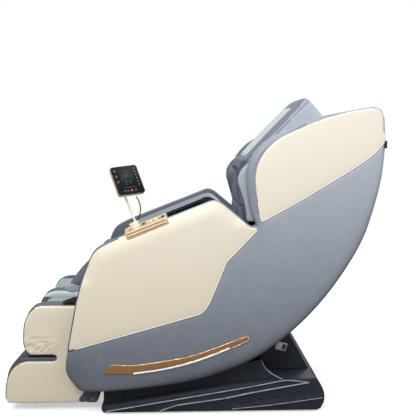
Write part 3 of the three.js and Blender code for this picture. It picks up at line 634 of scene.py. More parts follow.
def edged(node, material, bevel=1.2, segments=2, sharp=35):
    """A CAD node's shape with its edges broken, in place of the node."""
    obj = copy_of(node + "_body", node)
    if bevel:
        mod = obj.modifiers.new("bevel", "BEVEL")
        mod.width = bevel * MM
        mod.segments = segments
        mod.limit_method = "ANGLE"
        mod.angle_limit = math.radians(35)
        mod.use_clamp_overlap = True
        apply_modifiers(obj)
    for poly in obj.data.polygons:
        poly.use_smooth = True
    obj.data.set_sharp_from_angle(angle=math.radians(sharp))
    return dress(obj, material, BODY_OF[node], [node])


for node in ("base_frame", "seat_frame", "back_frame", "leg_lift_frame", "carriage_frame"):
    edged(node, STEEL, 1.5)
for node in ("pivot_shaft", "recline_actuator_rod", "leg_actuator_rod", "guide_rail_left",
             "guide_rail_right", "power_inlet"):
    edged(node, BRIGHT, 0.8)
for node in ("control_box", "air_pump", "recline_actuator_body", "leg_actuator_body",
             "massage_arm_left", "massage_arm_right"):
    edged(node, DARK_PLASTIC, 1.5)
for node in ("foot_front_left", "foot_front_right", "foot_rear_left", "foot_rear_right",
             "transport_wheel_left", "transport_wheel_right", "foot_roller"):
    edged(node, RUBBER, 0)
edged("base_cover", BASE_BLACK, 4, 3, 50)
edged("column_cover", BASE_BLACK, 3.5, 3, 40)
edged("power_switch", BLACK_KEY, 1)
edged("leg_back_cover", DARK_PLASTIC, 3, 3)


# ------------------------------------------------------------------ side shells
def stretch(loop, test):
    """The longest run of an outline whose points pass test(x, z)."""
    ok = test(loop[:, 0], loop[:, 1])
    best = []
    for start in np.where(ok & ~np.roll(ok, 1))[0]:
        run = []
        while ok[(start + len(run)) % len(loop)] and len(run) < len(loop):
            run.append((start + len(run)) % len(loop))
        best = max(best, run, key=len)
    return loop[best]


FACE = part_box("arm_panel_right")[1].y / MM
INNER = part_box("side_shell_right")[0].y / MM
SHELL = rounded(face_loop("side_shell_right", INNER))
ARM = offset(rounded(face_loop("arm_panel_right", FACE)), -3.5)
WING = offset(rounded(face_loop("wing_panel_right", FACE), 6, 34), -2.5)
ARM_TOP = stretch(SHELL, lambda x, z: (z > 560) & (x < 232) & ~((x > 180) & (z > 775)))


def smoothstep(t):
    t = np.clip(t, 0, 1)
    return t * t * (3 - 2 * t)


def bow(p):
    return 5 - 12 * ((p[:, 0] - 110) / 620) ** 2 - 5 * ((p[:, 1] - 600) / 600) ** 2


def lean(p):
    return 14 * np.clip(1 - distance(p, ARM_TOP, False) / 52, 0, 1) ** 1.5


def skin(p):
    return FACE + bow(p) - lean(p)


def shell_face(p, d):
    wing_front = smoothstep((p[:, 1] - 770) / 90) * smoothstep((430 - p[:, 0]) / 120)
    under = smoothstep((420 - p[:, 1]) / 260) * smoothstep((p[:, 0] + 260) / 300)
    y = skin(p) - roll(d, 15 + 14 * wing_front) * (1 - under) - 0.6 * roll(d, 46) * under
    for seam in (ARM, WING):
        y += np.where(within(p, seam), -4.0, groove(distance(p, seam), 3.2, 5.0))
    return y


def cream_face(p, d):
    return skin(p) + 1.2 + 2.2 * (1 - np.exp(-d / 18)) - roll(d, 5)


def on_skin(path, side, lift=0.0):
    path = np.asarray(path)
    return [(x, side * (y + lift), z) for (x, z), y in zip(path, skin(path))]


def shell_zone(c, n):
    """1 on the darker rim of the wing and arm, where the wide front rim of the wing is painted shade on its rounded
    edge; 2 on the inner face.
    """
    d = distance(c[:, [0, 2]], SHELL)
    wing = (c[:, 2] > 790) & (c[:, 0] < 430) & (d < 33)
    rim = (d < 7) & (((c[:, 2] > 520) & (c[:, 0] < 40)) | ((c[:, 2] > 900) & (c[:, 0] < 690)))
    return np.where(np.abs(c[:, 1]) < INNER + 3, 2, (wing | rim).astype(int))


seam_rings = (-9, -5, -2.5, 0, 2.5)
for hand, side in SIDES.items():
    shell = pad(f"side_shell_{hand}_leather", SHELL, side, shell_face, lambda p, d: INNER + roll(d, 7), GREY,
                "recliner", 16, roll_rings(16, 6) + [22, 29, 38, 46], [(ARM, seam_rings), (WING, seam_rings)], 4,
                slot="grey_leather", replaces=[f"side_shell_{hand}"])
    paint(shell, shell_zone)
    dress(shell, [GREY_SHELL, GREY_RIM, GREY_DARK], None)
    # Painted shade: edge_shade darkens the shell towards its lower rear edge and in its front lower corner.
    at = get_points(shell)
    d = distance(at[:, [0, 2]], SHELL)
    low_rear = smoothstep((at[:, 0] + 440) / 160) * smoothstep((1150 - at[:, 2]) / 700)
    corner = smoothstep((-330 - at[:, 0]) / 90) * smoothstep((330 - at[:, 2]) / 160)
    shade = shell.data.attributes.new("edge_shade", "FLOAT", "POINT")
    shade.data.foreach_set("value", 0.85 * np.exp(-d / 17) * low_rear + 0.4 * np.exp(-d / 55) * corner)
    for name, loop in (("arm_panel", ARM), ("wing_panel", WING)):
        pad(f"{name}_{hand}_leather", loop, side, cream_face, lambda p, d: skin(p) - 9, CREAM,
            "recliner", 16, roll_rings(5, 4) + [9, 14, 24], (), 1,
            slot="cream_leather", replaces=[f"{name}_{hand}"])
    lower = stretch(ARM, lambda x, z: (z < 735) & ((x > -482) & (z < 720 - 0.4 * (120 - x))) & (z > 274))
    tube(f"arm_piping_{hand}", on_skin(lower, side, 0.4), 2.3, PIPING, "recliner", slot="cream_leather")
    front = stretch(ARM, lambda x, z: (z > 268) & (z < 700) & (x < -255 - 0.9 * (700 - z) * (z > 560)))
    tube(f"arm_front_piping_{hand}", on_skin(front, side, -0.4), 2.6, GREY_DARK, "recliner", slot="grey_leather")
    wing_low = stretch(WING, lambda x, z: z < 1040 - 0.55 * (700 - x) + 40)
    tube(f"wing_piping_{hand}", on_skin(wing_low, side, 0.2), 2.0, PIPING, "recliner", slot="cream_leather")
    for name, loop in (("arm", ARM), ("wing", WING)):
        row = offset(loop, 9)
        lift = cream_face(row, np.full(len(row), 9.0)) - skin(row)
        path = [(x, side * (y + up), z) for (x, z), y, up in zip(row, skin(row), lift)]
        gaps = [k for k in range(1, len(path)) if (Vector(path[k]) - Vector(path[k - 1])).length > 25]
        runs = np.split(np.arange(len(path)), gaps)
        run = max(runs, key=len)
        stitches(f"{name}_stitches_{hand}", [path[k] for k in run], THREAD, "recliner", slot="cream_leather")
    # Bronze strip with its light along the lower side.
    strip = rounded(face_loop(f"trim_strip_right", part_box("trim_strip_right")[1].y / MM), 5)
    bar = rounded(face_loop("light_strip_right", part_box("light_strip_right")[1].y / MM), 5)
    pad(f"trim_strip_{hand}_cover", strip, side, lambda p, d: skin(p) + 4.5 - roll(d, 3),
        lambda p, d: skin(p) - 3, BRONZE, "recliner", 10, roll_rings(3, 3), (), 1,
        slot="bronze_trim", replaces=[f"trim_strip_{hand}"])
    pad(f"light_strip_{hand}_cover", bar, side, lambda p, d: skin(p) + 6 - roll(d, 2),
        lambda p, d: skin(p) - 3, LIGHT, "recliner", 10, roll_rings(2, 2), (), 1,
        slot="light_bar", replaces=[f"light_strip_{hand}"])
    top = stretch(strip, lambda x, z: (z > 205) & (x > -300) & (z > 232 + 0.0011 * (x + 100) ** 2 * (x > -100) * 0.4 - 22))
    # Painted highlight: a pale bronze cord along the top of the strip stands in for the light on its bevel.
    tube(f"trim_bevel_{hand}", on_skin(top, side, 4.2), 1.4, BEVEL, "recliner", 6, slot="bronze_trim")
    low = stretch(strip, lambda x, z: z < 225 + 0.28 * (x + 20))
    tube(f"trim_shadow_{hand}", on_skin(low - (0, 2.6), side, 0.4), 1.8, BLACK_KEY,
         "recliner", 6, slot="black_key")


# ------------------------------------------------------------------ back cover
def loft(name, loop, stations, place, material, body, **more):
    """Joins copies of a closed outline across the chair: place(points, normals, y) gives x, z at y."""
    edge = np.roll(loop, -1, 0) - np.roll(loop, 1, 0)
    normal = np.stack([edge[:, 1], -edge[:, 0]], 1)
    normal /= np.linalg.norm(normal, axis=1)[:, None]
    n, verts, faces = len(loop), [], []
    for y in stations:
        verts += [(x, y, z) for x, z in place(loop, normal, y)]
    for r in range(len(stations) - 1):
        for j in range(n):
            k = (j + 1) % n
            faces.append((r * n + j, r * n + k, (r + 1) * n + k, (r + 1) * n + j))
    faces += [tuple(range(n)), tuple(range(len(verts) - 1, len(verts) - n - 1, -1))]
    return mesh(name, verts, faces, material, body, **more)


BACK_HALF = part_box("back_shell")[1].y / MM
BACK = face_loop("back_shell", BACK_HALF)
BACK = rounded(BACK[~((BACK[:, 0] < 575) & (BACK[:, 1] > 1060))], 9)
BACK_SEAM = 190


def back_place(loop, normal, y):
    outward = np.clip(normal[:, 0] * 2, 0, 1) + 0.6 * np.clip(normal[:, 1], 0, 1)
    rise = 13 * (1 - (y / BACK_HALF) ** 2) - roll(BACK_HALF - abs(y), 9) * 0.7
    rise += groove(abs(abs(y) - BACK_SEAM), 3.5, 5)
    cross = groove(np.abs(loop[:, 1] - 980), 3.5, 7) + groove(np.abs(loop[:, 1] - 600), 3.5, 7)
    return loop + normal * (outward * (rise + cross * smoothstep((BACK_HALF - abs(y)) / 20)))[:, None]


stations = sorted(set(
    [s * v for s in (-1, 1) for v in (BACK_HALF, BACK_HALF - 1, BACK_HALF - 3, BACK_HALF - 6, BACK_HALF - 10)]
    + [s * (BACK_SEAM + v) for s in (-1, 1) for v in (-10, -5, -2.5, 0, 2.5, 5, 10)]
    + [float(v) for v in range(-320, 321, 32) if abs(abs(v) - BACK_SEAM) > 14]))
loft("back_shell_leather", BACK, stations, back_place, GREY, "recliner", slot="grey_leather",
     replaces=["back_shell"])


DECK_INNER = 184
for hand, side in SIDES.items():
    deck = prism(f"head_deck_{hand}", [(400, 1070), (398, 1090), (470, 1122), (581, 1157), (600, 1158), (594, 1138),
                                       (500, 1100)], side * DECK_INNER, side * BACK_HALF)
    soften(deck, 6, 6, 0)
    push(deck, lambda p, n: groove(np.abs(np.abs(p[:, 1]) - 262), 5, 7))
    subdivide(deck)
    clean(deck, 0)
    dress(deck, GREY, "recliner")
tag = prism("rear_tag", [(727, 1034), (735, 1034), (735, 1062), (727, 1062)], -FACE + 4, -FACE + 26)
clean(tag, 30)
dress(tag, FELT, "recliner")


# ------------------------------------------------------------------ cushions
def seams_at(*lines):
    """Pins points near planes: each line is (axis index, value, half width)."""
    def pins(points):
        held = np.zeros(len(points))
        for axis, value, half in lines:
            held[np.abs(np.abs(points[:, axis]) - value) < half] = 1.0
        return held
    return pins


SEAT_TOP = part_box("seat_cushion")[1].z / MM
seat = copy_of("seat_cushion_soft", "seat_cushion")
soften(seat, 7, 6, 3)
inflate(seat, 4, 14, lambda p: ((p[:, 2] < 380) | (np.abs(np.abs(p[:, 1]) - 150) < 5)
                               | (np.abs(p[:, 0] + 262) < 5) * (p[:, 2] > 430)).astype(float))
subdivide(seat)
push(seat, lambda p, n: (groove(np.abs(np.abs(p[:, 1]) - 150), 5, 5)
                         + groove(np.abs(p[:, 0] + 262), 5, 5)) * (n[:, 2] > 0.3))
clean(seat, 0)
dress(seat, GREY_LIGHT, "recliner", ["seat_cushion"])

back = copy_of("back_cushion_soft", "back_cushion")
soften(back, 7, 6, 3)
inflate(back, 4, 14, lambda p: ((p[:, 0] > 70 + 0.62 * (p[:, 2] - 452) + 120)
                               | (np.abs(np.abs(p[:, 1]) - 130) < 5)).astype(float))
subdivide(back)
push(back, lambda p, n: (groove(np.abs(np.abs(p[:, 1]) - 130), 5, 5)
                         + groove(np.abs(p[:, 2] - 640), 5, 6) + groove(np.abs(p[:, 2] - 800), 5, 6))
     * (n[:, 0] < -0.2))
clean(back, 0)
# Painted shade: the back cushion takes the dark grey leather.
dress(back, GREY_DARK, "recliner", ["back_cushion"])

TEAL_HALF = 142
PILLOW_FOOT = np.array((212.0, 986.0))
PILLOW_LINE = np.array((224.0, 230.0)) / math.hypot(224, 230)


def on_pillow(p):
    """Distance up the pillow's sloping front, for points in x, y, z."""
    return (p[:, [0, 2]] - PILLOW_FOOT) @ PILLOW_LINE


pillow = copy_of("head_pillow_soft", "head_pillow")
soften(pillow, 6, 12, 2)
front_normal = np.array((-PILLOW_LINE[1], 0, PILLOW_LINE[0]))


def pillow_crown(p, n):
    across = 1 - (p[:, 1] / 178) ** 2
    along = 1 - ((on_pillow(p) - 170) / 210) ** 2
    return 15 * np.clip(across, 0, 1) ** 0.8 * np.clip(along, 0, 1) ** 0.7 * np.clip(n @ front_normal, 0, 1)


push(pillow, pillow_crown)
inflate(pillow, 4, 12, lambda p: ((p[:, 0] > 420) & (p[:, 2] < 1150)
                                 | (np.abs(np.abs(p[:, 1]) - TEAL_HALF) < 4)).astype(float))
subdivide(pillow)
push(pillow, lambda p, n: (groove(np.abs(np.abs(p[:, 1]) - TEAL_HALF), 5, 4) + groove(np.abs(on_pillow(p) - 24), 5, 5)
                           * (np.abs(p[:, 1]) < TEAL_HALF)) * (n @ front_normal > 0.2)
     + groove(np.abs((p[:, [0, 2]] - PILLOW_FOOT) @ (PILLOW_LINE[::-1] * (1, -1)) - 22), 3, 3)
     * (np.abs(n[:, 1]) > 0.4))
clean(pillow, 0)
# The front's border outside the teal takes the dark grey leather: partly a dark border, partly painted shade.
paint(pillow, lambda c, n: np.where(n @ front_normal < 0.3, 0, np.where(
    (np.abs(c[:, 1]) < TEAL_HALF) & (on_pillow(c) > 24) & (on_pillow(c) < 292), 1, 2)))
dress(pillow, [GREY_LIGHT, TEAL, GREY_DARK], "recliner", ["head_pillow"])

lip = prism("pillow_lip", [(198, 938), (194, 956), (206, 990), (226, 1004), (246, 986), (238, 966), (216, 960),
                           (212, 938)], -168, 168)
soften(lip, 5, 6, 0)
inflate(lip, 4, 5)
subdivide(lip)
clean(lip, 0)
dress(lip, GREY_DARK, "recliner")

# Black lining behind the bottom of the backrest.
lining = prism("back_lining", [(84, 398), (92, 396), (124, 464), (116, 468)], -238, 238)
clean(lining, 30)
dress(lining, FELT, "recliner")
fold = prism("lumbar_fold", [(58, 446), (72, 442), (112, 452), (118, 480), (96, 505), (80, 490)], -224, 224)
soften(fold, 6, 5, 0)
inflate(fold, 4, 6)
subdivide(fold)
clean(fold, 0)
# Painted shade: the lumbar fold takes the dark grey leather.
dress(fold, GREY_DARK, "recliner")

pad_right = copy_of("shoulder_pad_right_soft", "shoulder_pad_right")
soften(pad_right, 6, 9, 2)
inflate(pad_right, 4, 10, seams_at((1, 342, 8), (1, 300, 3)))
subdivide(pad_right)
push(pad_right, lambda p, n: groove(np.abs(p[:, 1] - 300), 7, 6))
clean(pad_right, 0)
# Painted light and shade: the inner half of each pad takes the dark grey leather and the outer half the light grey.
paint(pad_right, lambda c, n: (c[:, 1] > 301).astype(int))
pad_left = mirrored(pad_right, "shoulder_pad_left_soft")
for hand, one in (("right", pad_right), ("left", pad_left)):
    dress(one, [GREY_DARK, GREY_LIGHT], "recliner", [f"shoulder_pad_{hand}"])

# Dark piping down the front of each shoulder pad.
points = get_points(pad_right)
for number, (y, back_off) in enumerate(((262, 0), (300, 3), (334, 0))):
    near = points[np.abs(points[:, 1] - y) < 5]
    path = []
    for z in np.arange(near[:, 2].min() + 14, near[:, 2].max() - 10, 14):
        row = near[np.abs(near[:, 2] - z) < 8]
        if len(row):
            path.append((row[:, 0].min() + back_off, y, z))
    for hand, side in SIDES.items():
        tube(f"shoulder_piping_{number + 1}_{hand}", resample([(x, side * y, z) for x, y, z in path], 6), 2.4,
             THREAD_GREY, "recliner", 6, slot="grey_leather")

TUNNEL = np.array([(-350, 545), (-350, 630), (62, 792), (92, 756), (62, 690)], float)
arm_right = copy_of("arm_pad_right_soft", "arm_pad_right")
soften(arm_right, 6, 6, 2)
points = get_points(arm_right)
inward = np.clip((BACK_HALF - points[:, 1]) / 105, 0, 1)
top_line = np.interp(points[:, 0], [-340, -262, 72, 130, 188], [640, 690, 822, 800, 600])
near_top = smoothstep((points[:, 2] - top_line + 55) / 40)
points[:, 2] -= 13 * inward**1.6 * near_top
points[:, 0] += 20 * smoothstep((-285 - points[:, 0]) / 50) * smoothstep((points[:, 2] - 606) / 26)
set_points(arm_right, points)
inflate(arm_right, 4, 7, lambda p: ((p[:, 1] > 335) | (p[:, 2] < 440)
                                   | (distance(p[:, [0, 2]], TUNNEL) < 6)).astype(float))
subdivide(arm_right)
push(arm_right, lambda p, n: groove(np.abs(p[:, 2] - 520), 4, 5) * (n[:, 1] < -0.5))
clean(arm_right, 0)
# Painted shade: black fabric on the tunnel and on the inward faces of the arm pad stands in for the shade inside the
# arm.
paint(arm_right, lambda c, n: (((c[:, 1] > 248) & (c[:, 1] < 336) & within(c[:, [0, 2]], TUNNEL + (4, 0)))
                               | ((n[:, 1] < -0.6) & (c[:, 2] > 520))
                               | ((n[:, 1] < -0.1) & (c[:, 2] > 540) & (c[:, 0] < -280))).astype(int))
arm_left = mirrored(arm_right, "arm_pad_left_soft")
for hand, one in (("right", arm_right), ("left", arm_left)):
    dress(one, [GREY_RIM, FELT], "recliner", [f"arm_pad_{hand}"])

# Soft flap at the front of each arm.
flap_right = prism("knee_flap_right", [(-334, 606), (-396, 602), (-474, 506), (-470, 494), (-345, 494),
                                       (-336, 520)], 244, 296)
roll_right = prism("knee_roll_right", [(-492, 490), (-482, 508), (-452, 512), (-424, 502), (-424, 482), (-452, 474),
                                       (-482, 476)], 236, 300)
folds_right = prism("knee_folds_right", [(-518, 431), (-488, 438), (-456, 449), (-432, 453), (-428, 442),
                                         (-446, 431)], 246, 302)
# The knee roll takes the light grey leather: partly its own colour, partly painted highlight where it catches the
# light.
for one, material in ((flap_right, GREY_DARK), (roll_right, GREY_LIGHT), (folds_right, FELT)):
    soften(one, 5, 12 if one is roll_right else 6, 0)
    if one is folds_right:
        push(one, lambda p, n: 4 * np.sin(p[:, 0] * 0.4 + p[:, 1] * 0.12 + p[:, 2] * 0.5))
    inflate(one, 4, 6, seams_at((0, 338, 6)))
    subdivide(one)
    clean(one, 0)
    other = mirrored(one, one.name.replace("right", "left"))
    for piece in (one, other):
        dress(piece, material, "recliner")
        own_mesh(piece)

# Folded black cloth between the seat and the leg rest.
verts, faces = [], []
across = np.linspace(-284, 284, 70)
run = resample([(-337, 424), (-352, 444), (-384, 456), (-420, 452), (-448, 428)], 3)
for k, (x, z) in enumerate(run):
    for y in across:
        wave = 4.0 * math.sin(k * 0.75 + 0.9 * math.sin(y * 0.021)) * math.sin(math.pi * k / (len(run) - 1))
        verts.append((x, y, z + wave))
for k in range(len(run) - 1):
    for j in range(len(across) - 1):
        a = k * len(across) + j
        faces.append((a, a + 1, a + 1 + len(across), a + len(across)))
apron = mesh("knee_apron", verts, faces, FELT, None)
solid = apron.modifiers.new("solid", "SOLIDIFY")
solid.thickness = 2 * MM
apply_modifiers(apron)
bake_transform(apron)


# ------------------------------------------------------------------ leg rest
LEG_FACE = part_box("leg_panel_right")[1].y / MM
LEG_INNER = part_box("leg_panel_right")[0].y / MM
LEG_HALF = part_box("leg_shell")[1].y / MM
LEG_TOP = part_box("leg_shell")[1].z / MM
LEG = rounded(face_loop("leg_panel_right", LEG_FACE), 6)
slot_end = (np.abs(LEG[:, 1] - 217) < 17) & (np.abs(LEG[:, 0] + 528) < 14)
for _ in range(3):
    LEG[slot_end] = (np.roll(LEG, 1, 0) + np.roll(LEG, -1, 0))[slot_end] / 2
CORNER = resample([(-410, 112), (-424, 76), (-441, 50), (-421, 33), (-406, 15), (-398, 4)], 4)
CREASES = [resample(np.array(line, float), 5) for line in (
    [(-646, 284), (-603, 300), (-556, 297)], [(-637, 241), (-596, 278), (-549, 283)], [(-624, 228), (-582, 263)],
    [(-589, 239), (-537, 277)], [(-558, 240), (-544, 255)], [(-640, 262), (-615, 274)])]

leg = copy_of("leg_shell_leather", "leg_shell")
soften(leg, 5, 7, 0)
points = get_points(leg)
side_way = np.abs(points[:, 1])
crown = smoothstep((side_way - 246) / 44) * smoothstep((points[:, 2] - LEG_TOP + 45) / 40)
points[:, 2] -= 5 * crown**2
points[:, 1] += np.sign(points[:, 1]) * 15 * crown * smoothstep((points[:, 2] - LEG_TOP + 16) / 8)
middle = smoothstep((50 - side_way) / 6) * smoothstep((points[:, 2] - LEG_TOP + 50) / 50)
points[:, 2] -= 15 * middle * (np.abs(points[:, 1]) / 46) ** 1.5
set_points(leg, points)
subdivide(leg)


def leg_zone(c, n):
    way = np.abs(c[:, 1])
    upper = (way > 46) & (way < 246) & (c[:, 2] > 262) & (c[:, 0] > -650) & (c[:, 0] < -443)
    foot = (way > 50) & (way < 242) & (c[:, 2] < 196) & (c[:, 2] > 56) & (c[:, 0] > -706) & (c[:, 0] < -500)
    edge = (c[:, 2] > LEG_TOP - 11) | ((way > 236) & (n[:, 0] < -0.5)) | ((way < 60) & (n[:, 0] < -0.5))
    crest = (way > 31) & (way < 60) & (c[:, 2] > LEG_TOP - 30) & (c[:, 0] > -636)
    return (((upper | foot) & ~edge) | crest).astype(int)


clean(leg, 0)
paint(leg, leg_zone)
dress(leg, [GREY_DARK, TEAL], "leg_rest", ["leg_shell"])

calf = copy_of("calf_pad_soft", "calf_pad")
soften(calf, 6, 5, 3)
inflate(calf, 4, 9, lambda p: ((p[:, 0] > -456) | (np.abs(p[:, 1]) < 50)).astype(float))
subdivide(calf)
push(calf, lambda p, n: groove(np.abs(p[:, 2] - 360), 4, 6) * (n[:, 0] < -0.2))
clean(calf, 0)
dress(calf, TEAL, "leg_rest", ["calf_pad"])


def leg_side(p, d):
    fold = smoothstep((-560 - p[:, 0]) / 60) * smoothstep((330 - p[:, 1]) / 60) * smoothstep((p[:, 1] - 226) / 20)
    waves = np.sin(p[:, 1] * 0.16 + p[:, 0] * 0.05) + 0.6 * np.sin(p[:, 1] * 0.09 - p[:, 0] * 0.11)
    y = LEG_FACE + 0.5 + 3.0 * (1 - np.exp(-d / 22)) - roll(d, 6) + 1.8 * fold * waves
    for line in CREASES:
        gap = distance(p, line, False)
        y += (groove(gap, 1.9, 3.5) + 1.3 * np.exp(-((gap - 8) / 6) ** 2)) * (1 - np.exp(-d / 8))
    return y


for hand, side in SIDES.items():
    panel = pad(f"leg_panel_{hand}_leather", LEG, side, leg_side, lambda p, d: LEG_INNER + 0 * d, CREAM,
                "leg_rest", 9, roll_rings(6, 4) + [10, 17],
                [(CORNER, (-2, 2))] + [(line, (-6, -3, 0, 3, 6)) for line in CREASES], 1,
                slot="cream_leather", replaces=[f"leg_panel_{hand}"])
    paint(panel, lambda c, n: ((c[:, 2] < 110) & (c[:, 0] > np.interp(c[:, 2], CORNER[::-1, 1], CORNER[::-1, 0]))
                               ).astype(int))
    dress(panel, [CREAM, GREY_DARK], None)
    for part, low_z, high_z in (("foot", 52, 199), ("calf", 240, 418)):
        edge = stretch(LEG, lambda x, z: (x < -570) & (z > low_z) & (z < high_z))
        tube(f"{part}_edge_{hand}", [(x, side * (LEG_FACE - 3), z) for x, z in edge], 2.4, GREY_DARK, "leg_rest",
             slot="grey_leather")
    spot = np.array((-388, side * (LEG_FACE + 0.4), 49))
    tube(f"corner_dot_{hand}", [spot - (0, side * 2, 0), spot], 3.2, ORANGE, "leg_rest", 12, slot="gold")


# The black block in the slot beside the foot ledge stands in for the shadow there: painted shadow.
for hand, side in SIDES.items():
    for name, shape, y0, y1, material in (
            ("foot_ledge", [(-672, 192), (-521, 192), (-521, 218), (-652, 218), (-668, 212)], 284, 304, GREY_DARK),
            ("foot_slot_shadow", [(-640, 217), (-519, 214), (-519, 234), (-630, 234)], 284, 296, FELT)):
        block = prism(f"{name}_{hand}", shape, side * y0, side * y1)
        soften(block, 3, 3, 0)
        clean(block, 0)
        dress(block, material, "leg_rest")

# ------------------------------------------------------------------ base sides with their creases
BASE_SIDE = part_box("base_cover")[1].y / MM
SKIRT = rounded(face_loop("base_cover", BASE_SIDE), 8, 25)
RIDGES = [
    np.array([(-331, 14), (-170, 40), (-4, 67), (192, 99), (305, 119), (361, 129), (400, 129), (462, 120)], float),
    np.array([(-122, 13), (-90, 24), (-44, 37), (127, 60), (232, 81), (389, 108), (462, 120)], float),
    np.array([(160, 17), (337, 34), (518, 58)], float),
]


def skirt_face(p, d):
    near = np.min([distance(p, ridge, False) for ridge in RIDGES], axis=0)
    return BASE_SIDE + 5 - 6 * (1 - np.exp(-near / 12)) - roll(d, 3)


for hand, side in SIDES.items():
    pad(f"base_side_{hand}", SKIRT, side, skirt_face, lambda p, d: BASE_SIDE - 2 + 0 * d, BASE_BLACK, "base",
        9, roll_rings(3, 3), (), 1, sharp=25, slot="base_black")


    # Painted highlights: pale cords along the ridges and along the bend at the column's foot stand in for the light on
    # them.
    for number, ridge in enumerate(RIDGES):
        line = resample(ridge, 14)
        y = skirt_face(line, np.full(len(line), 9.0))
        tube(f"base_crease_{number + 1}_{hand}", [(x, side * v, z) for (x, z), v in zip(line, y)],
             (2.2, 2.6, 1.6)[number], BASE_HIGHLIGHT, "base", 6, slot="base_black")
    bend = resample([(281, side * 300, 197), (292, side * 301, 170), (312, side * 301, 149), (334, side * 310, 137),
                     (361, side * 338, 131)], 6)
    tube(f"base_bend_{hand}", bend, 2.2, BASE_HIGHLIGHT, "base", 6, slot="base_black")
    # Painted shadow: a dark cord stands in for the shade in the groove between the ridges.
    line = resample([(172, 34), (250, 49), (329, 63), (415, 82), (494, 99)], 10)
    y = skirt_face(line, np.full(len(line), 9.0))
    tube(f"base_groove_{hand}", [(x, side * (v - 0.4), z) for (x, z), v in zip(line, y)], 1.5, GLASS, "base", 6,
         slot="base_black")
    # Closes the slit between the column's foot and the base cover.
    gasket = prism(f"column_gasket_{hand}", [(296, 118), (352, 118), (352, 140), (296, 150)], side * 222, side * 229.5)
    clean(gasket, 30)
    dress(gasket, BASE_BLACK, "base")

# ------------------------------------------------------------------ control panel and tablet
joints = {j["name"]: j for j in frame["record"]["behaviour"]["joints"]}
arm_up = Vector(joints["holder_swivel"]["axis"])
arm_along = Vector((arm_up.z, 0, -arm_up.x))
panel = copy_of("control_panel_body", "control_panel")
reach = np.array([v.co.dot(arm_along) for v in panel.data.vertices]) / MM
ends = (reach < reach.min() + 0.1) | (reach > reach.max() - 0.1)
weights = panel.data.attributes.new("bevel_weight_edge", "FLOAT", "EDGE")
for edge in panel.data.edges:
    weights.data[edge.index].value = float(ends[edge.vertices[0]] and ends[edge.vertices[1]])
bevel = panel.modifiers.new("ends", "BEVEL")
bevel.width = 8 * MM
bevel.segments = 4
bevel.limit_method = "WEIGHT"
apply_modifiers(panel)
bevel = panel.modifiers.new("edges", "BEVEL")
bevel.width = 1.6 * MM
bevel.segments = 3
bevel.limit_method = "ANGLE"
bevel.angle_limit = math.radians(35)
apply_modifiers(panel)
clean(panel, 35)
dress(panel, GOLD, "recliner", ["control_panel"])
for number, material in ((1, BLACK_KEY), (2, GOLD_LIGHT), (3, GOLD_LIGHT), (4, BLACK_KEY)):
    edged(f"quick_key_{number}", material, 1.2, 3)
# The pole takes the paler gold: partly its own colour, partly painted highlight.
edged("holder_pole", GOLD_LIGHT, 1.0, 3)
case = edged("tablet_case", GOLD, 1.4, 3)
edged("tablet_screen", GLASS, 0.6)
edged("tablet_power_key", RED, 0.8, 3)

lo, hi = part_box("control_panel")
corner = Vector(((lo.x + hi.x) / 2, lo.y, (lo.z + hi.z) / 2)) / MM


def slanted_box(name, centre, along, up, size, material, body, slot):
    """A small block with its length and height along two directions."""
    out = along.cross(up).normalized()
    verts, faces = [], [(0, 1, 3, 2), (4, 6, 7, 5), (0, 4, 5, 1), (2, 3, 7, 6), (0, 2, 6, 4), (1, 5, 7, 3)]
    for a in (-1, 1):
        for b in (-1, 1):
            for c in (-1, 1):
                verts.append(centre + along * (a * size[0] / 2) + up * (b * size[1] / 2) + out * (c * size[2] / 2))
    return mesh(name, verts, faces, material, body, slot)


for number, (height, size, out, material) in enumerate((
        (5, 4.5, 1.6, GOLD_LIGHT), (-0.5, 1.6, 2.2, BRONZE), (-6, 4.5, 1.6, GOLD_LIGHT), (-11.5, 1.4, 2.0, BRONZE))):
    slanted_box(f"control_panel_stripe_{number + 1}", corner + Vector((0, -0.2, 0)) + arm_up * height, arm_along,
                arm_up, (150, size, out), material, "recliner", "gold")

screen_axis = Vector(joints["tablet_tilt"]["axis"]).normalized()
screen_out = -Vector(joints["tablet_power_key_press"]["axis"]).normalized()
screen_up = screen_out.cross(screen_axis).normalized()
left = screen_axis * (-1 if screen_axis.x > 0 else 1)
paint(case, lambda c, n: ((n @ np.array(screen_out) > 0.6) | (n @ np.array(left) < -0.5)
                          | (n @ np.array(screen_up) > 0.5)).astype(int))
dress(case, [GOLD, GLASS], None)
screen_points = np.array([tuple(v.co / MM) for v in frame["nodes"]["tablet_screen"].data.vertices])
low = [float((screen_points @ np.array(a)).min()) for a in (screen_axis, screen_up)]
high = [float((screen_points @ np.array(a)).max()) for a in (screen_axis, screen_up)]
glass_out = float((screen_points @ np.array(screen_out)).max())


lead = np.array([tuple(v.co / MM) for v in frame["nodes"]["tablet_cable"].data.vertices])
lead_top, lead_foot = lead[lead[:, 2].argmax()], lead[lead[:, 2].argmin()]
t = np.linspace(0, 1, 24)[:, None]
bulge = (lead_top + lead_foot) / 2 + (26, 4, 4)
curve = (1 - t) ** 2 * lead_top + 2 * t * (1 - t) * bulge + t**2 * lead_foot
cable = tube("tablet_cable_smooth", curve, 2.3, RUBBER, "tablet_holder", 8, slot="rubber")
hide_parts("tablet_cable")


def on_screen(u, v, lift=0.25):
    """A point on the glass: u and v run from -1 to 1 across and up."""
    a = (low[0] + high[0]) / 2 + u * (high[0] - low[0]) / 2
    b = (low[1] + high[1]) / 2 + v * (high[1] - low[1]) / 2
    return screen_axis * a + screen_up * b + screen_out * (glass_out + lift)


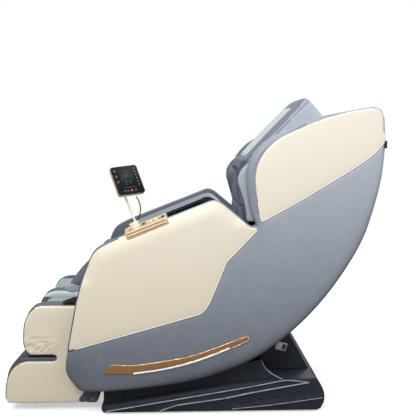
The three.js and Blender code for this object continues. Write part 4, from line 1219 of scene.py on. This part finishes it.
def glow(name, color, strength=0.5):
    mat, tree, bsdf = shader(name)
    dots = texture(tree, "ShaderNodeTexNoise", 700, Detail=2.0)
    tree.links.new(tint(tree, dots.outputs["Fac"], color, tuple(c * 0.8 for c in color)), bsdf.inputs["Base Color"])
    tree.links.new(tint(tree, dots.outputs["Fac"], color, tuple(c * 0.7 for c in color)), bsdf.inputs["Emission Color"])
    bsdf.inputs["Emission Strength"].default_value = strength
    bsdf.inputs["Specular IOR Level"].default_value = 0.1
    return mat


def decal(name, spots, material, lift=0.25):
    """Thin shapes on the glass: each spot is (u, v, half width, half height, corners) in mm."""
    verts, faces = [], []
    for u, v, w, h, corners in spots:
        base = len(verts)
        centre = on_screen(u, v, lift)
        for k in range(corners):
            a = 2 * math.pi * (k + 0.5) / corners
            grow = 1 / math.cos(math.pi / corners)
            verts.append(centre + screen_axis * (w * grow * math.cos(a)) + screen_up * (h * grow * math.sin(a)))
        faces.append(tuple(range(base, base + corners)))
    obj = mesh(name, verts, faces, material, None)
    solid = obj.modifiers.new("solid", "SOLIDIFY")
    solid.thickness = 0.3 * MM
    apply_modifiers(obj)
    return dress(obj, material, "tablet")


decal("tablet_icons", [(-0.78, 0.72 - 0.4 * k, 4.6, 5.4, 4) for k in range(3)]
      + [(0.78, 0.78 - 0.24 * k, 3.8, 3.8, 4) for k in range(6)], glow("icon_grey", (0.09, 0.097, 0.11), 0.3))
decal("tablet_display", [(0, 0.22, 27, 33, 4)], glow("display", (0.022, 0.025, 0.032), 0.12))
decal("tablet_figure", [(0, 0.62, 3.2, 4.0, 14), (0, 0.28, 6.5, 11, 10), (-0.16, -0.2, 2.6, 12, 8),
                        (0.16, -0.2, 2.6, 12, 8), (-0.26, 0.26, 1.8, 10, 8), (0.26, 0.26, 1.8, 10, 8)],
      glow("figure", (0.05, 0.056, 0.07), 0.2), 0.7)
decal("tablet_lines", [(0, -0.55, 24, 0.5, 4), (-0.42, 0.2, 0.5, 26, 4), (0.42, 0.2, 0.5, 26, 4)],
      glow("line", (0.14, 0.15, 0.17)))
decal("tablet_keys", [(-0.5, -0.78, 3.2, 3.2, 12), (-0.26, -0.78, 3.2, 3.2, 12), (0.36, -0.78, 3.2, 3.2, 12)],
      glow("key_light", (0.14, 0.147, 0.16), 0.3))


# ------------------------------------------------------------------ stage, lights and camera
def area(name, where, target, size, power, color=(1, 1, 1)):
    data = bpy.data.lights.new(name, "AREA")
    data.size = size
    data.energy = power
    data.color = color
    light = bpy.data.objects.new(name, data)
    bpy.context.scene.collection.objects.link(light)
    light.location = where
    light.rotation_euler = (Vector(target) - Vector(where)).to_track_quat("-Z", "Y").to_euler()
    return light


world = bpy.data.worlds.new("studio")
bpy.context.scene.world = world
world.use_nodes = True
tree = world.node_tree
seen = tree.nodes.new("ShaderNodeLightPath")
where = tree.nodes.new("ShaderNodeTexCoord")
split = tree.nodes.new("ShaderNodeSeparateXYZ")
tree.links.new(where.outputs["Generated"], split.inputs["Vector"])
level = ramp(tree, split.outputs["Z"], 0.16, 0.85, -0.3, 1.0)
pick = tree.nodes.new("ShaderNodeMix")
tree.links.new(seen.outputs["Is Camera Ray"], pick.inputs["Factor"])
tree.links.new(level, pick.inputs["A"])
pick.inputs["B"].default_value = 1.0
tree.links.new(pick.outputs["Result"], tree.nodes["Background"].inputs["Strength"])
tree.nodes["Background"].inputs["Color"].default_value = (1, 1, 1, 1)

area("key", (-1.2, -3.4, 3.4), (0, 0, 0.8), 1.8, 135)
area("fill", (3.0, -3.0, 2.2), (0, 0, 0.6), 2.4, 22)
area("top", (0.0, 0.6, 3.6), (0, 0, 0.5), 2.6, 30)
area("back", (2.2, 3.4, 2.6), (0, 0, 0.7), 2.6, 60)

floor_mat, tree, bsdf = shader("floor")
speck = texture(tree, "ShaderNodeTexNoise", 3, Detail=2.0)
tree.links.new(tint(tree, speck.outputs["Fac"], (0.7, 0.7, 0.7), (0.72, 0.72, 0.72)), bsdf.inputs["Base Color"])
bsdf.inputs["Roughness"].default_value = 0.9
bsdf.inputs["Specular IOR Level"].default_value = 0.0
bsdf.inputs["Emission Color"].default_value = (1, 1, 1, 1)
bsdf.inputs["Emission Strength"].default_value = 0.5
dull = tree.nodes.new("ShaderNodeBsdfDiffuse")
dull.inputs["Color"].default_value = (0.28, 0.28, 0.28, 1)
seen = tree.nodes.new("ShaderNodeLightPath")
choose = tree.nodes.new("ShaderNodeMixShader")
tree.links.new(seen.outputs["Is Camera Ray"], choose.inputs[0])
tree.links.new(dull.outputs[0], choose.inputs[1])
tree.links.new(bsdf.outputs[0], choose.inputs[2])
tree.links.new(choose.outputs[0], tree.nodes["Material Output"].inputs["Surface"])
floor = mesh("floor", [(-9000, -9000, -0.4), (9000, -9000, -0.4), (9000, 9000, -0.4), (-9000, 9000, -0.4)],
             [(0, 1, 2, 3)], floor_mat, None)

camera = bpy.data.objects.new("camera", bpy.data.cameras.new("camera"))
bpy.context.scene.collection.objects.link(camera)
camera.location = (-0.013, -2.690, 1.028)
pan = math.atan(21 / 621)
tilt = math.atan(58 / 621)
camera.rotation_euler = (math.pi / 2 - tilt, 0, -pan)
camera.data.angle = 2 * math.atan(208 / 621)
camera.data.clip_end = 40
bpy.context.scene.camera = camera
bpy.context.scene.view_settings.view_transform = "Standard"
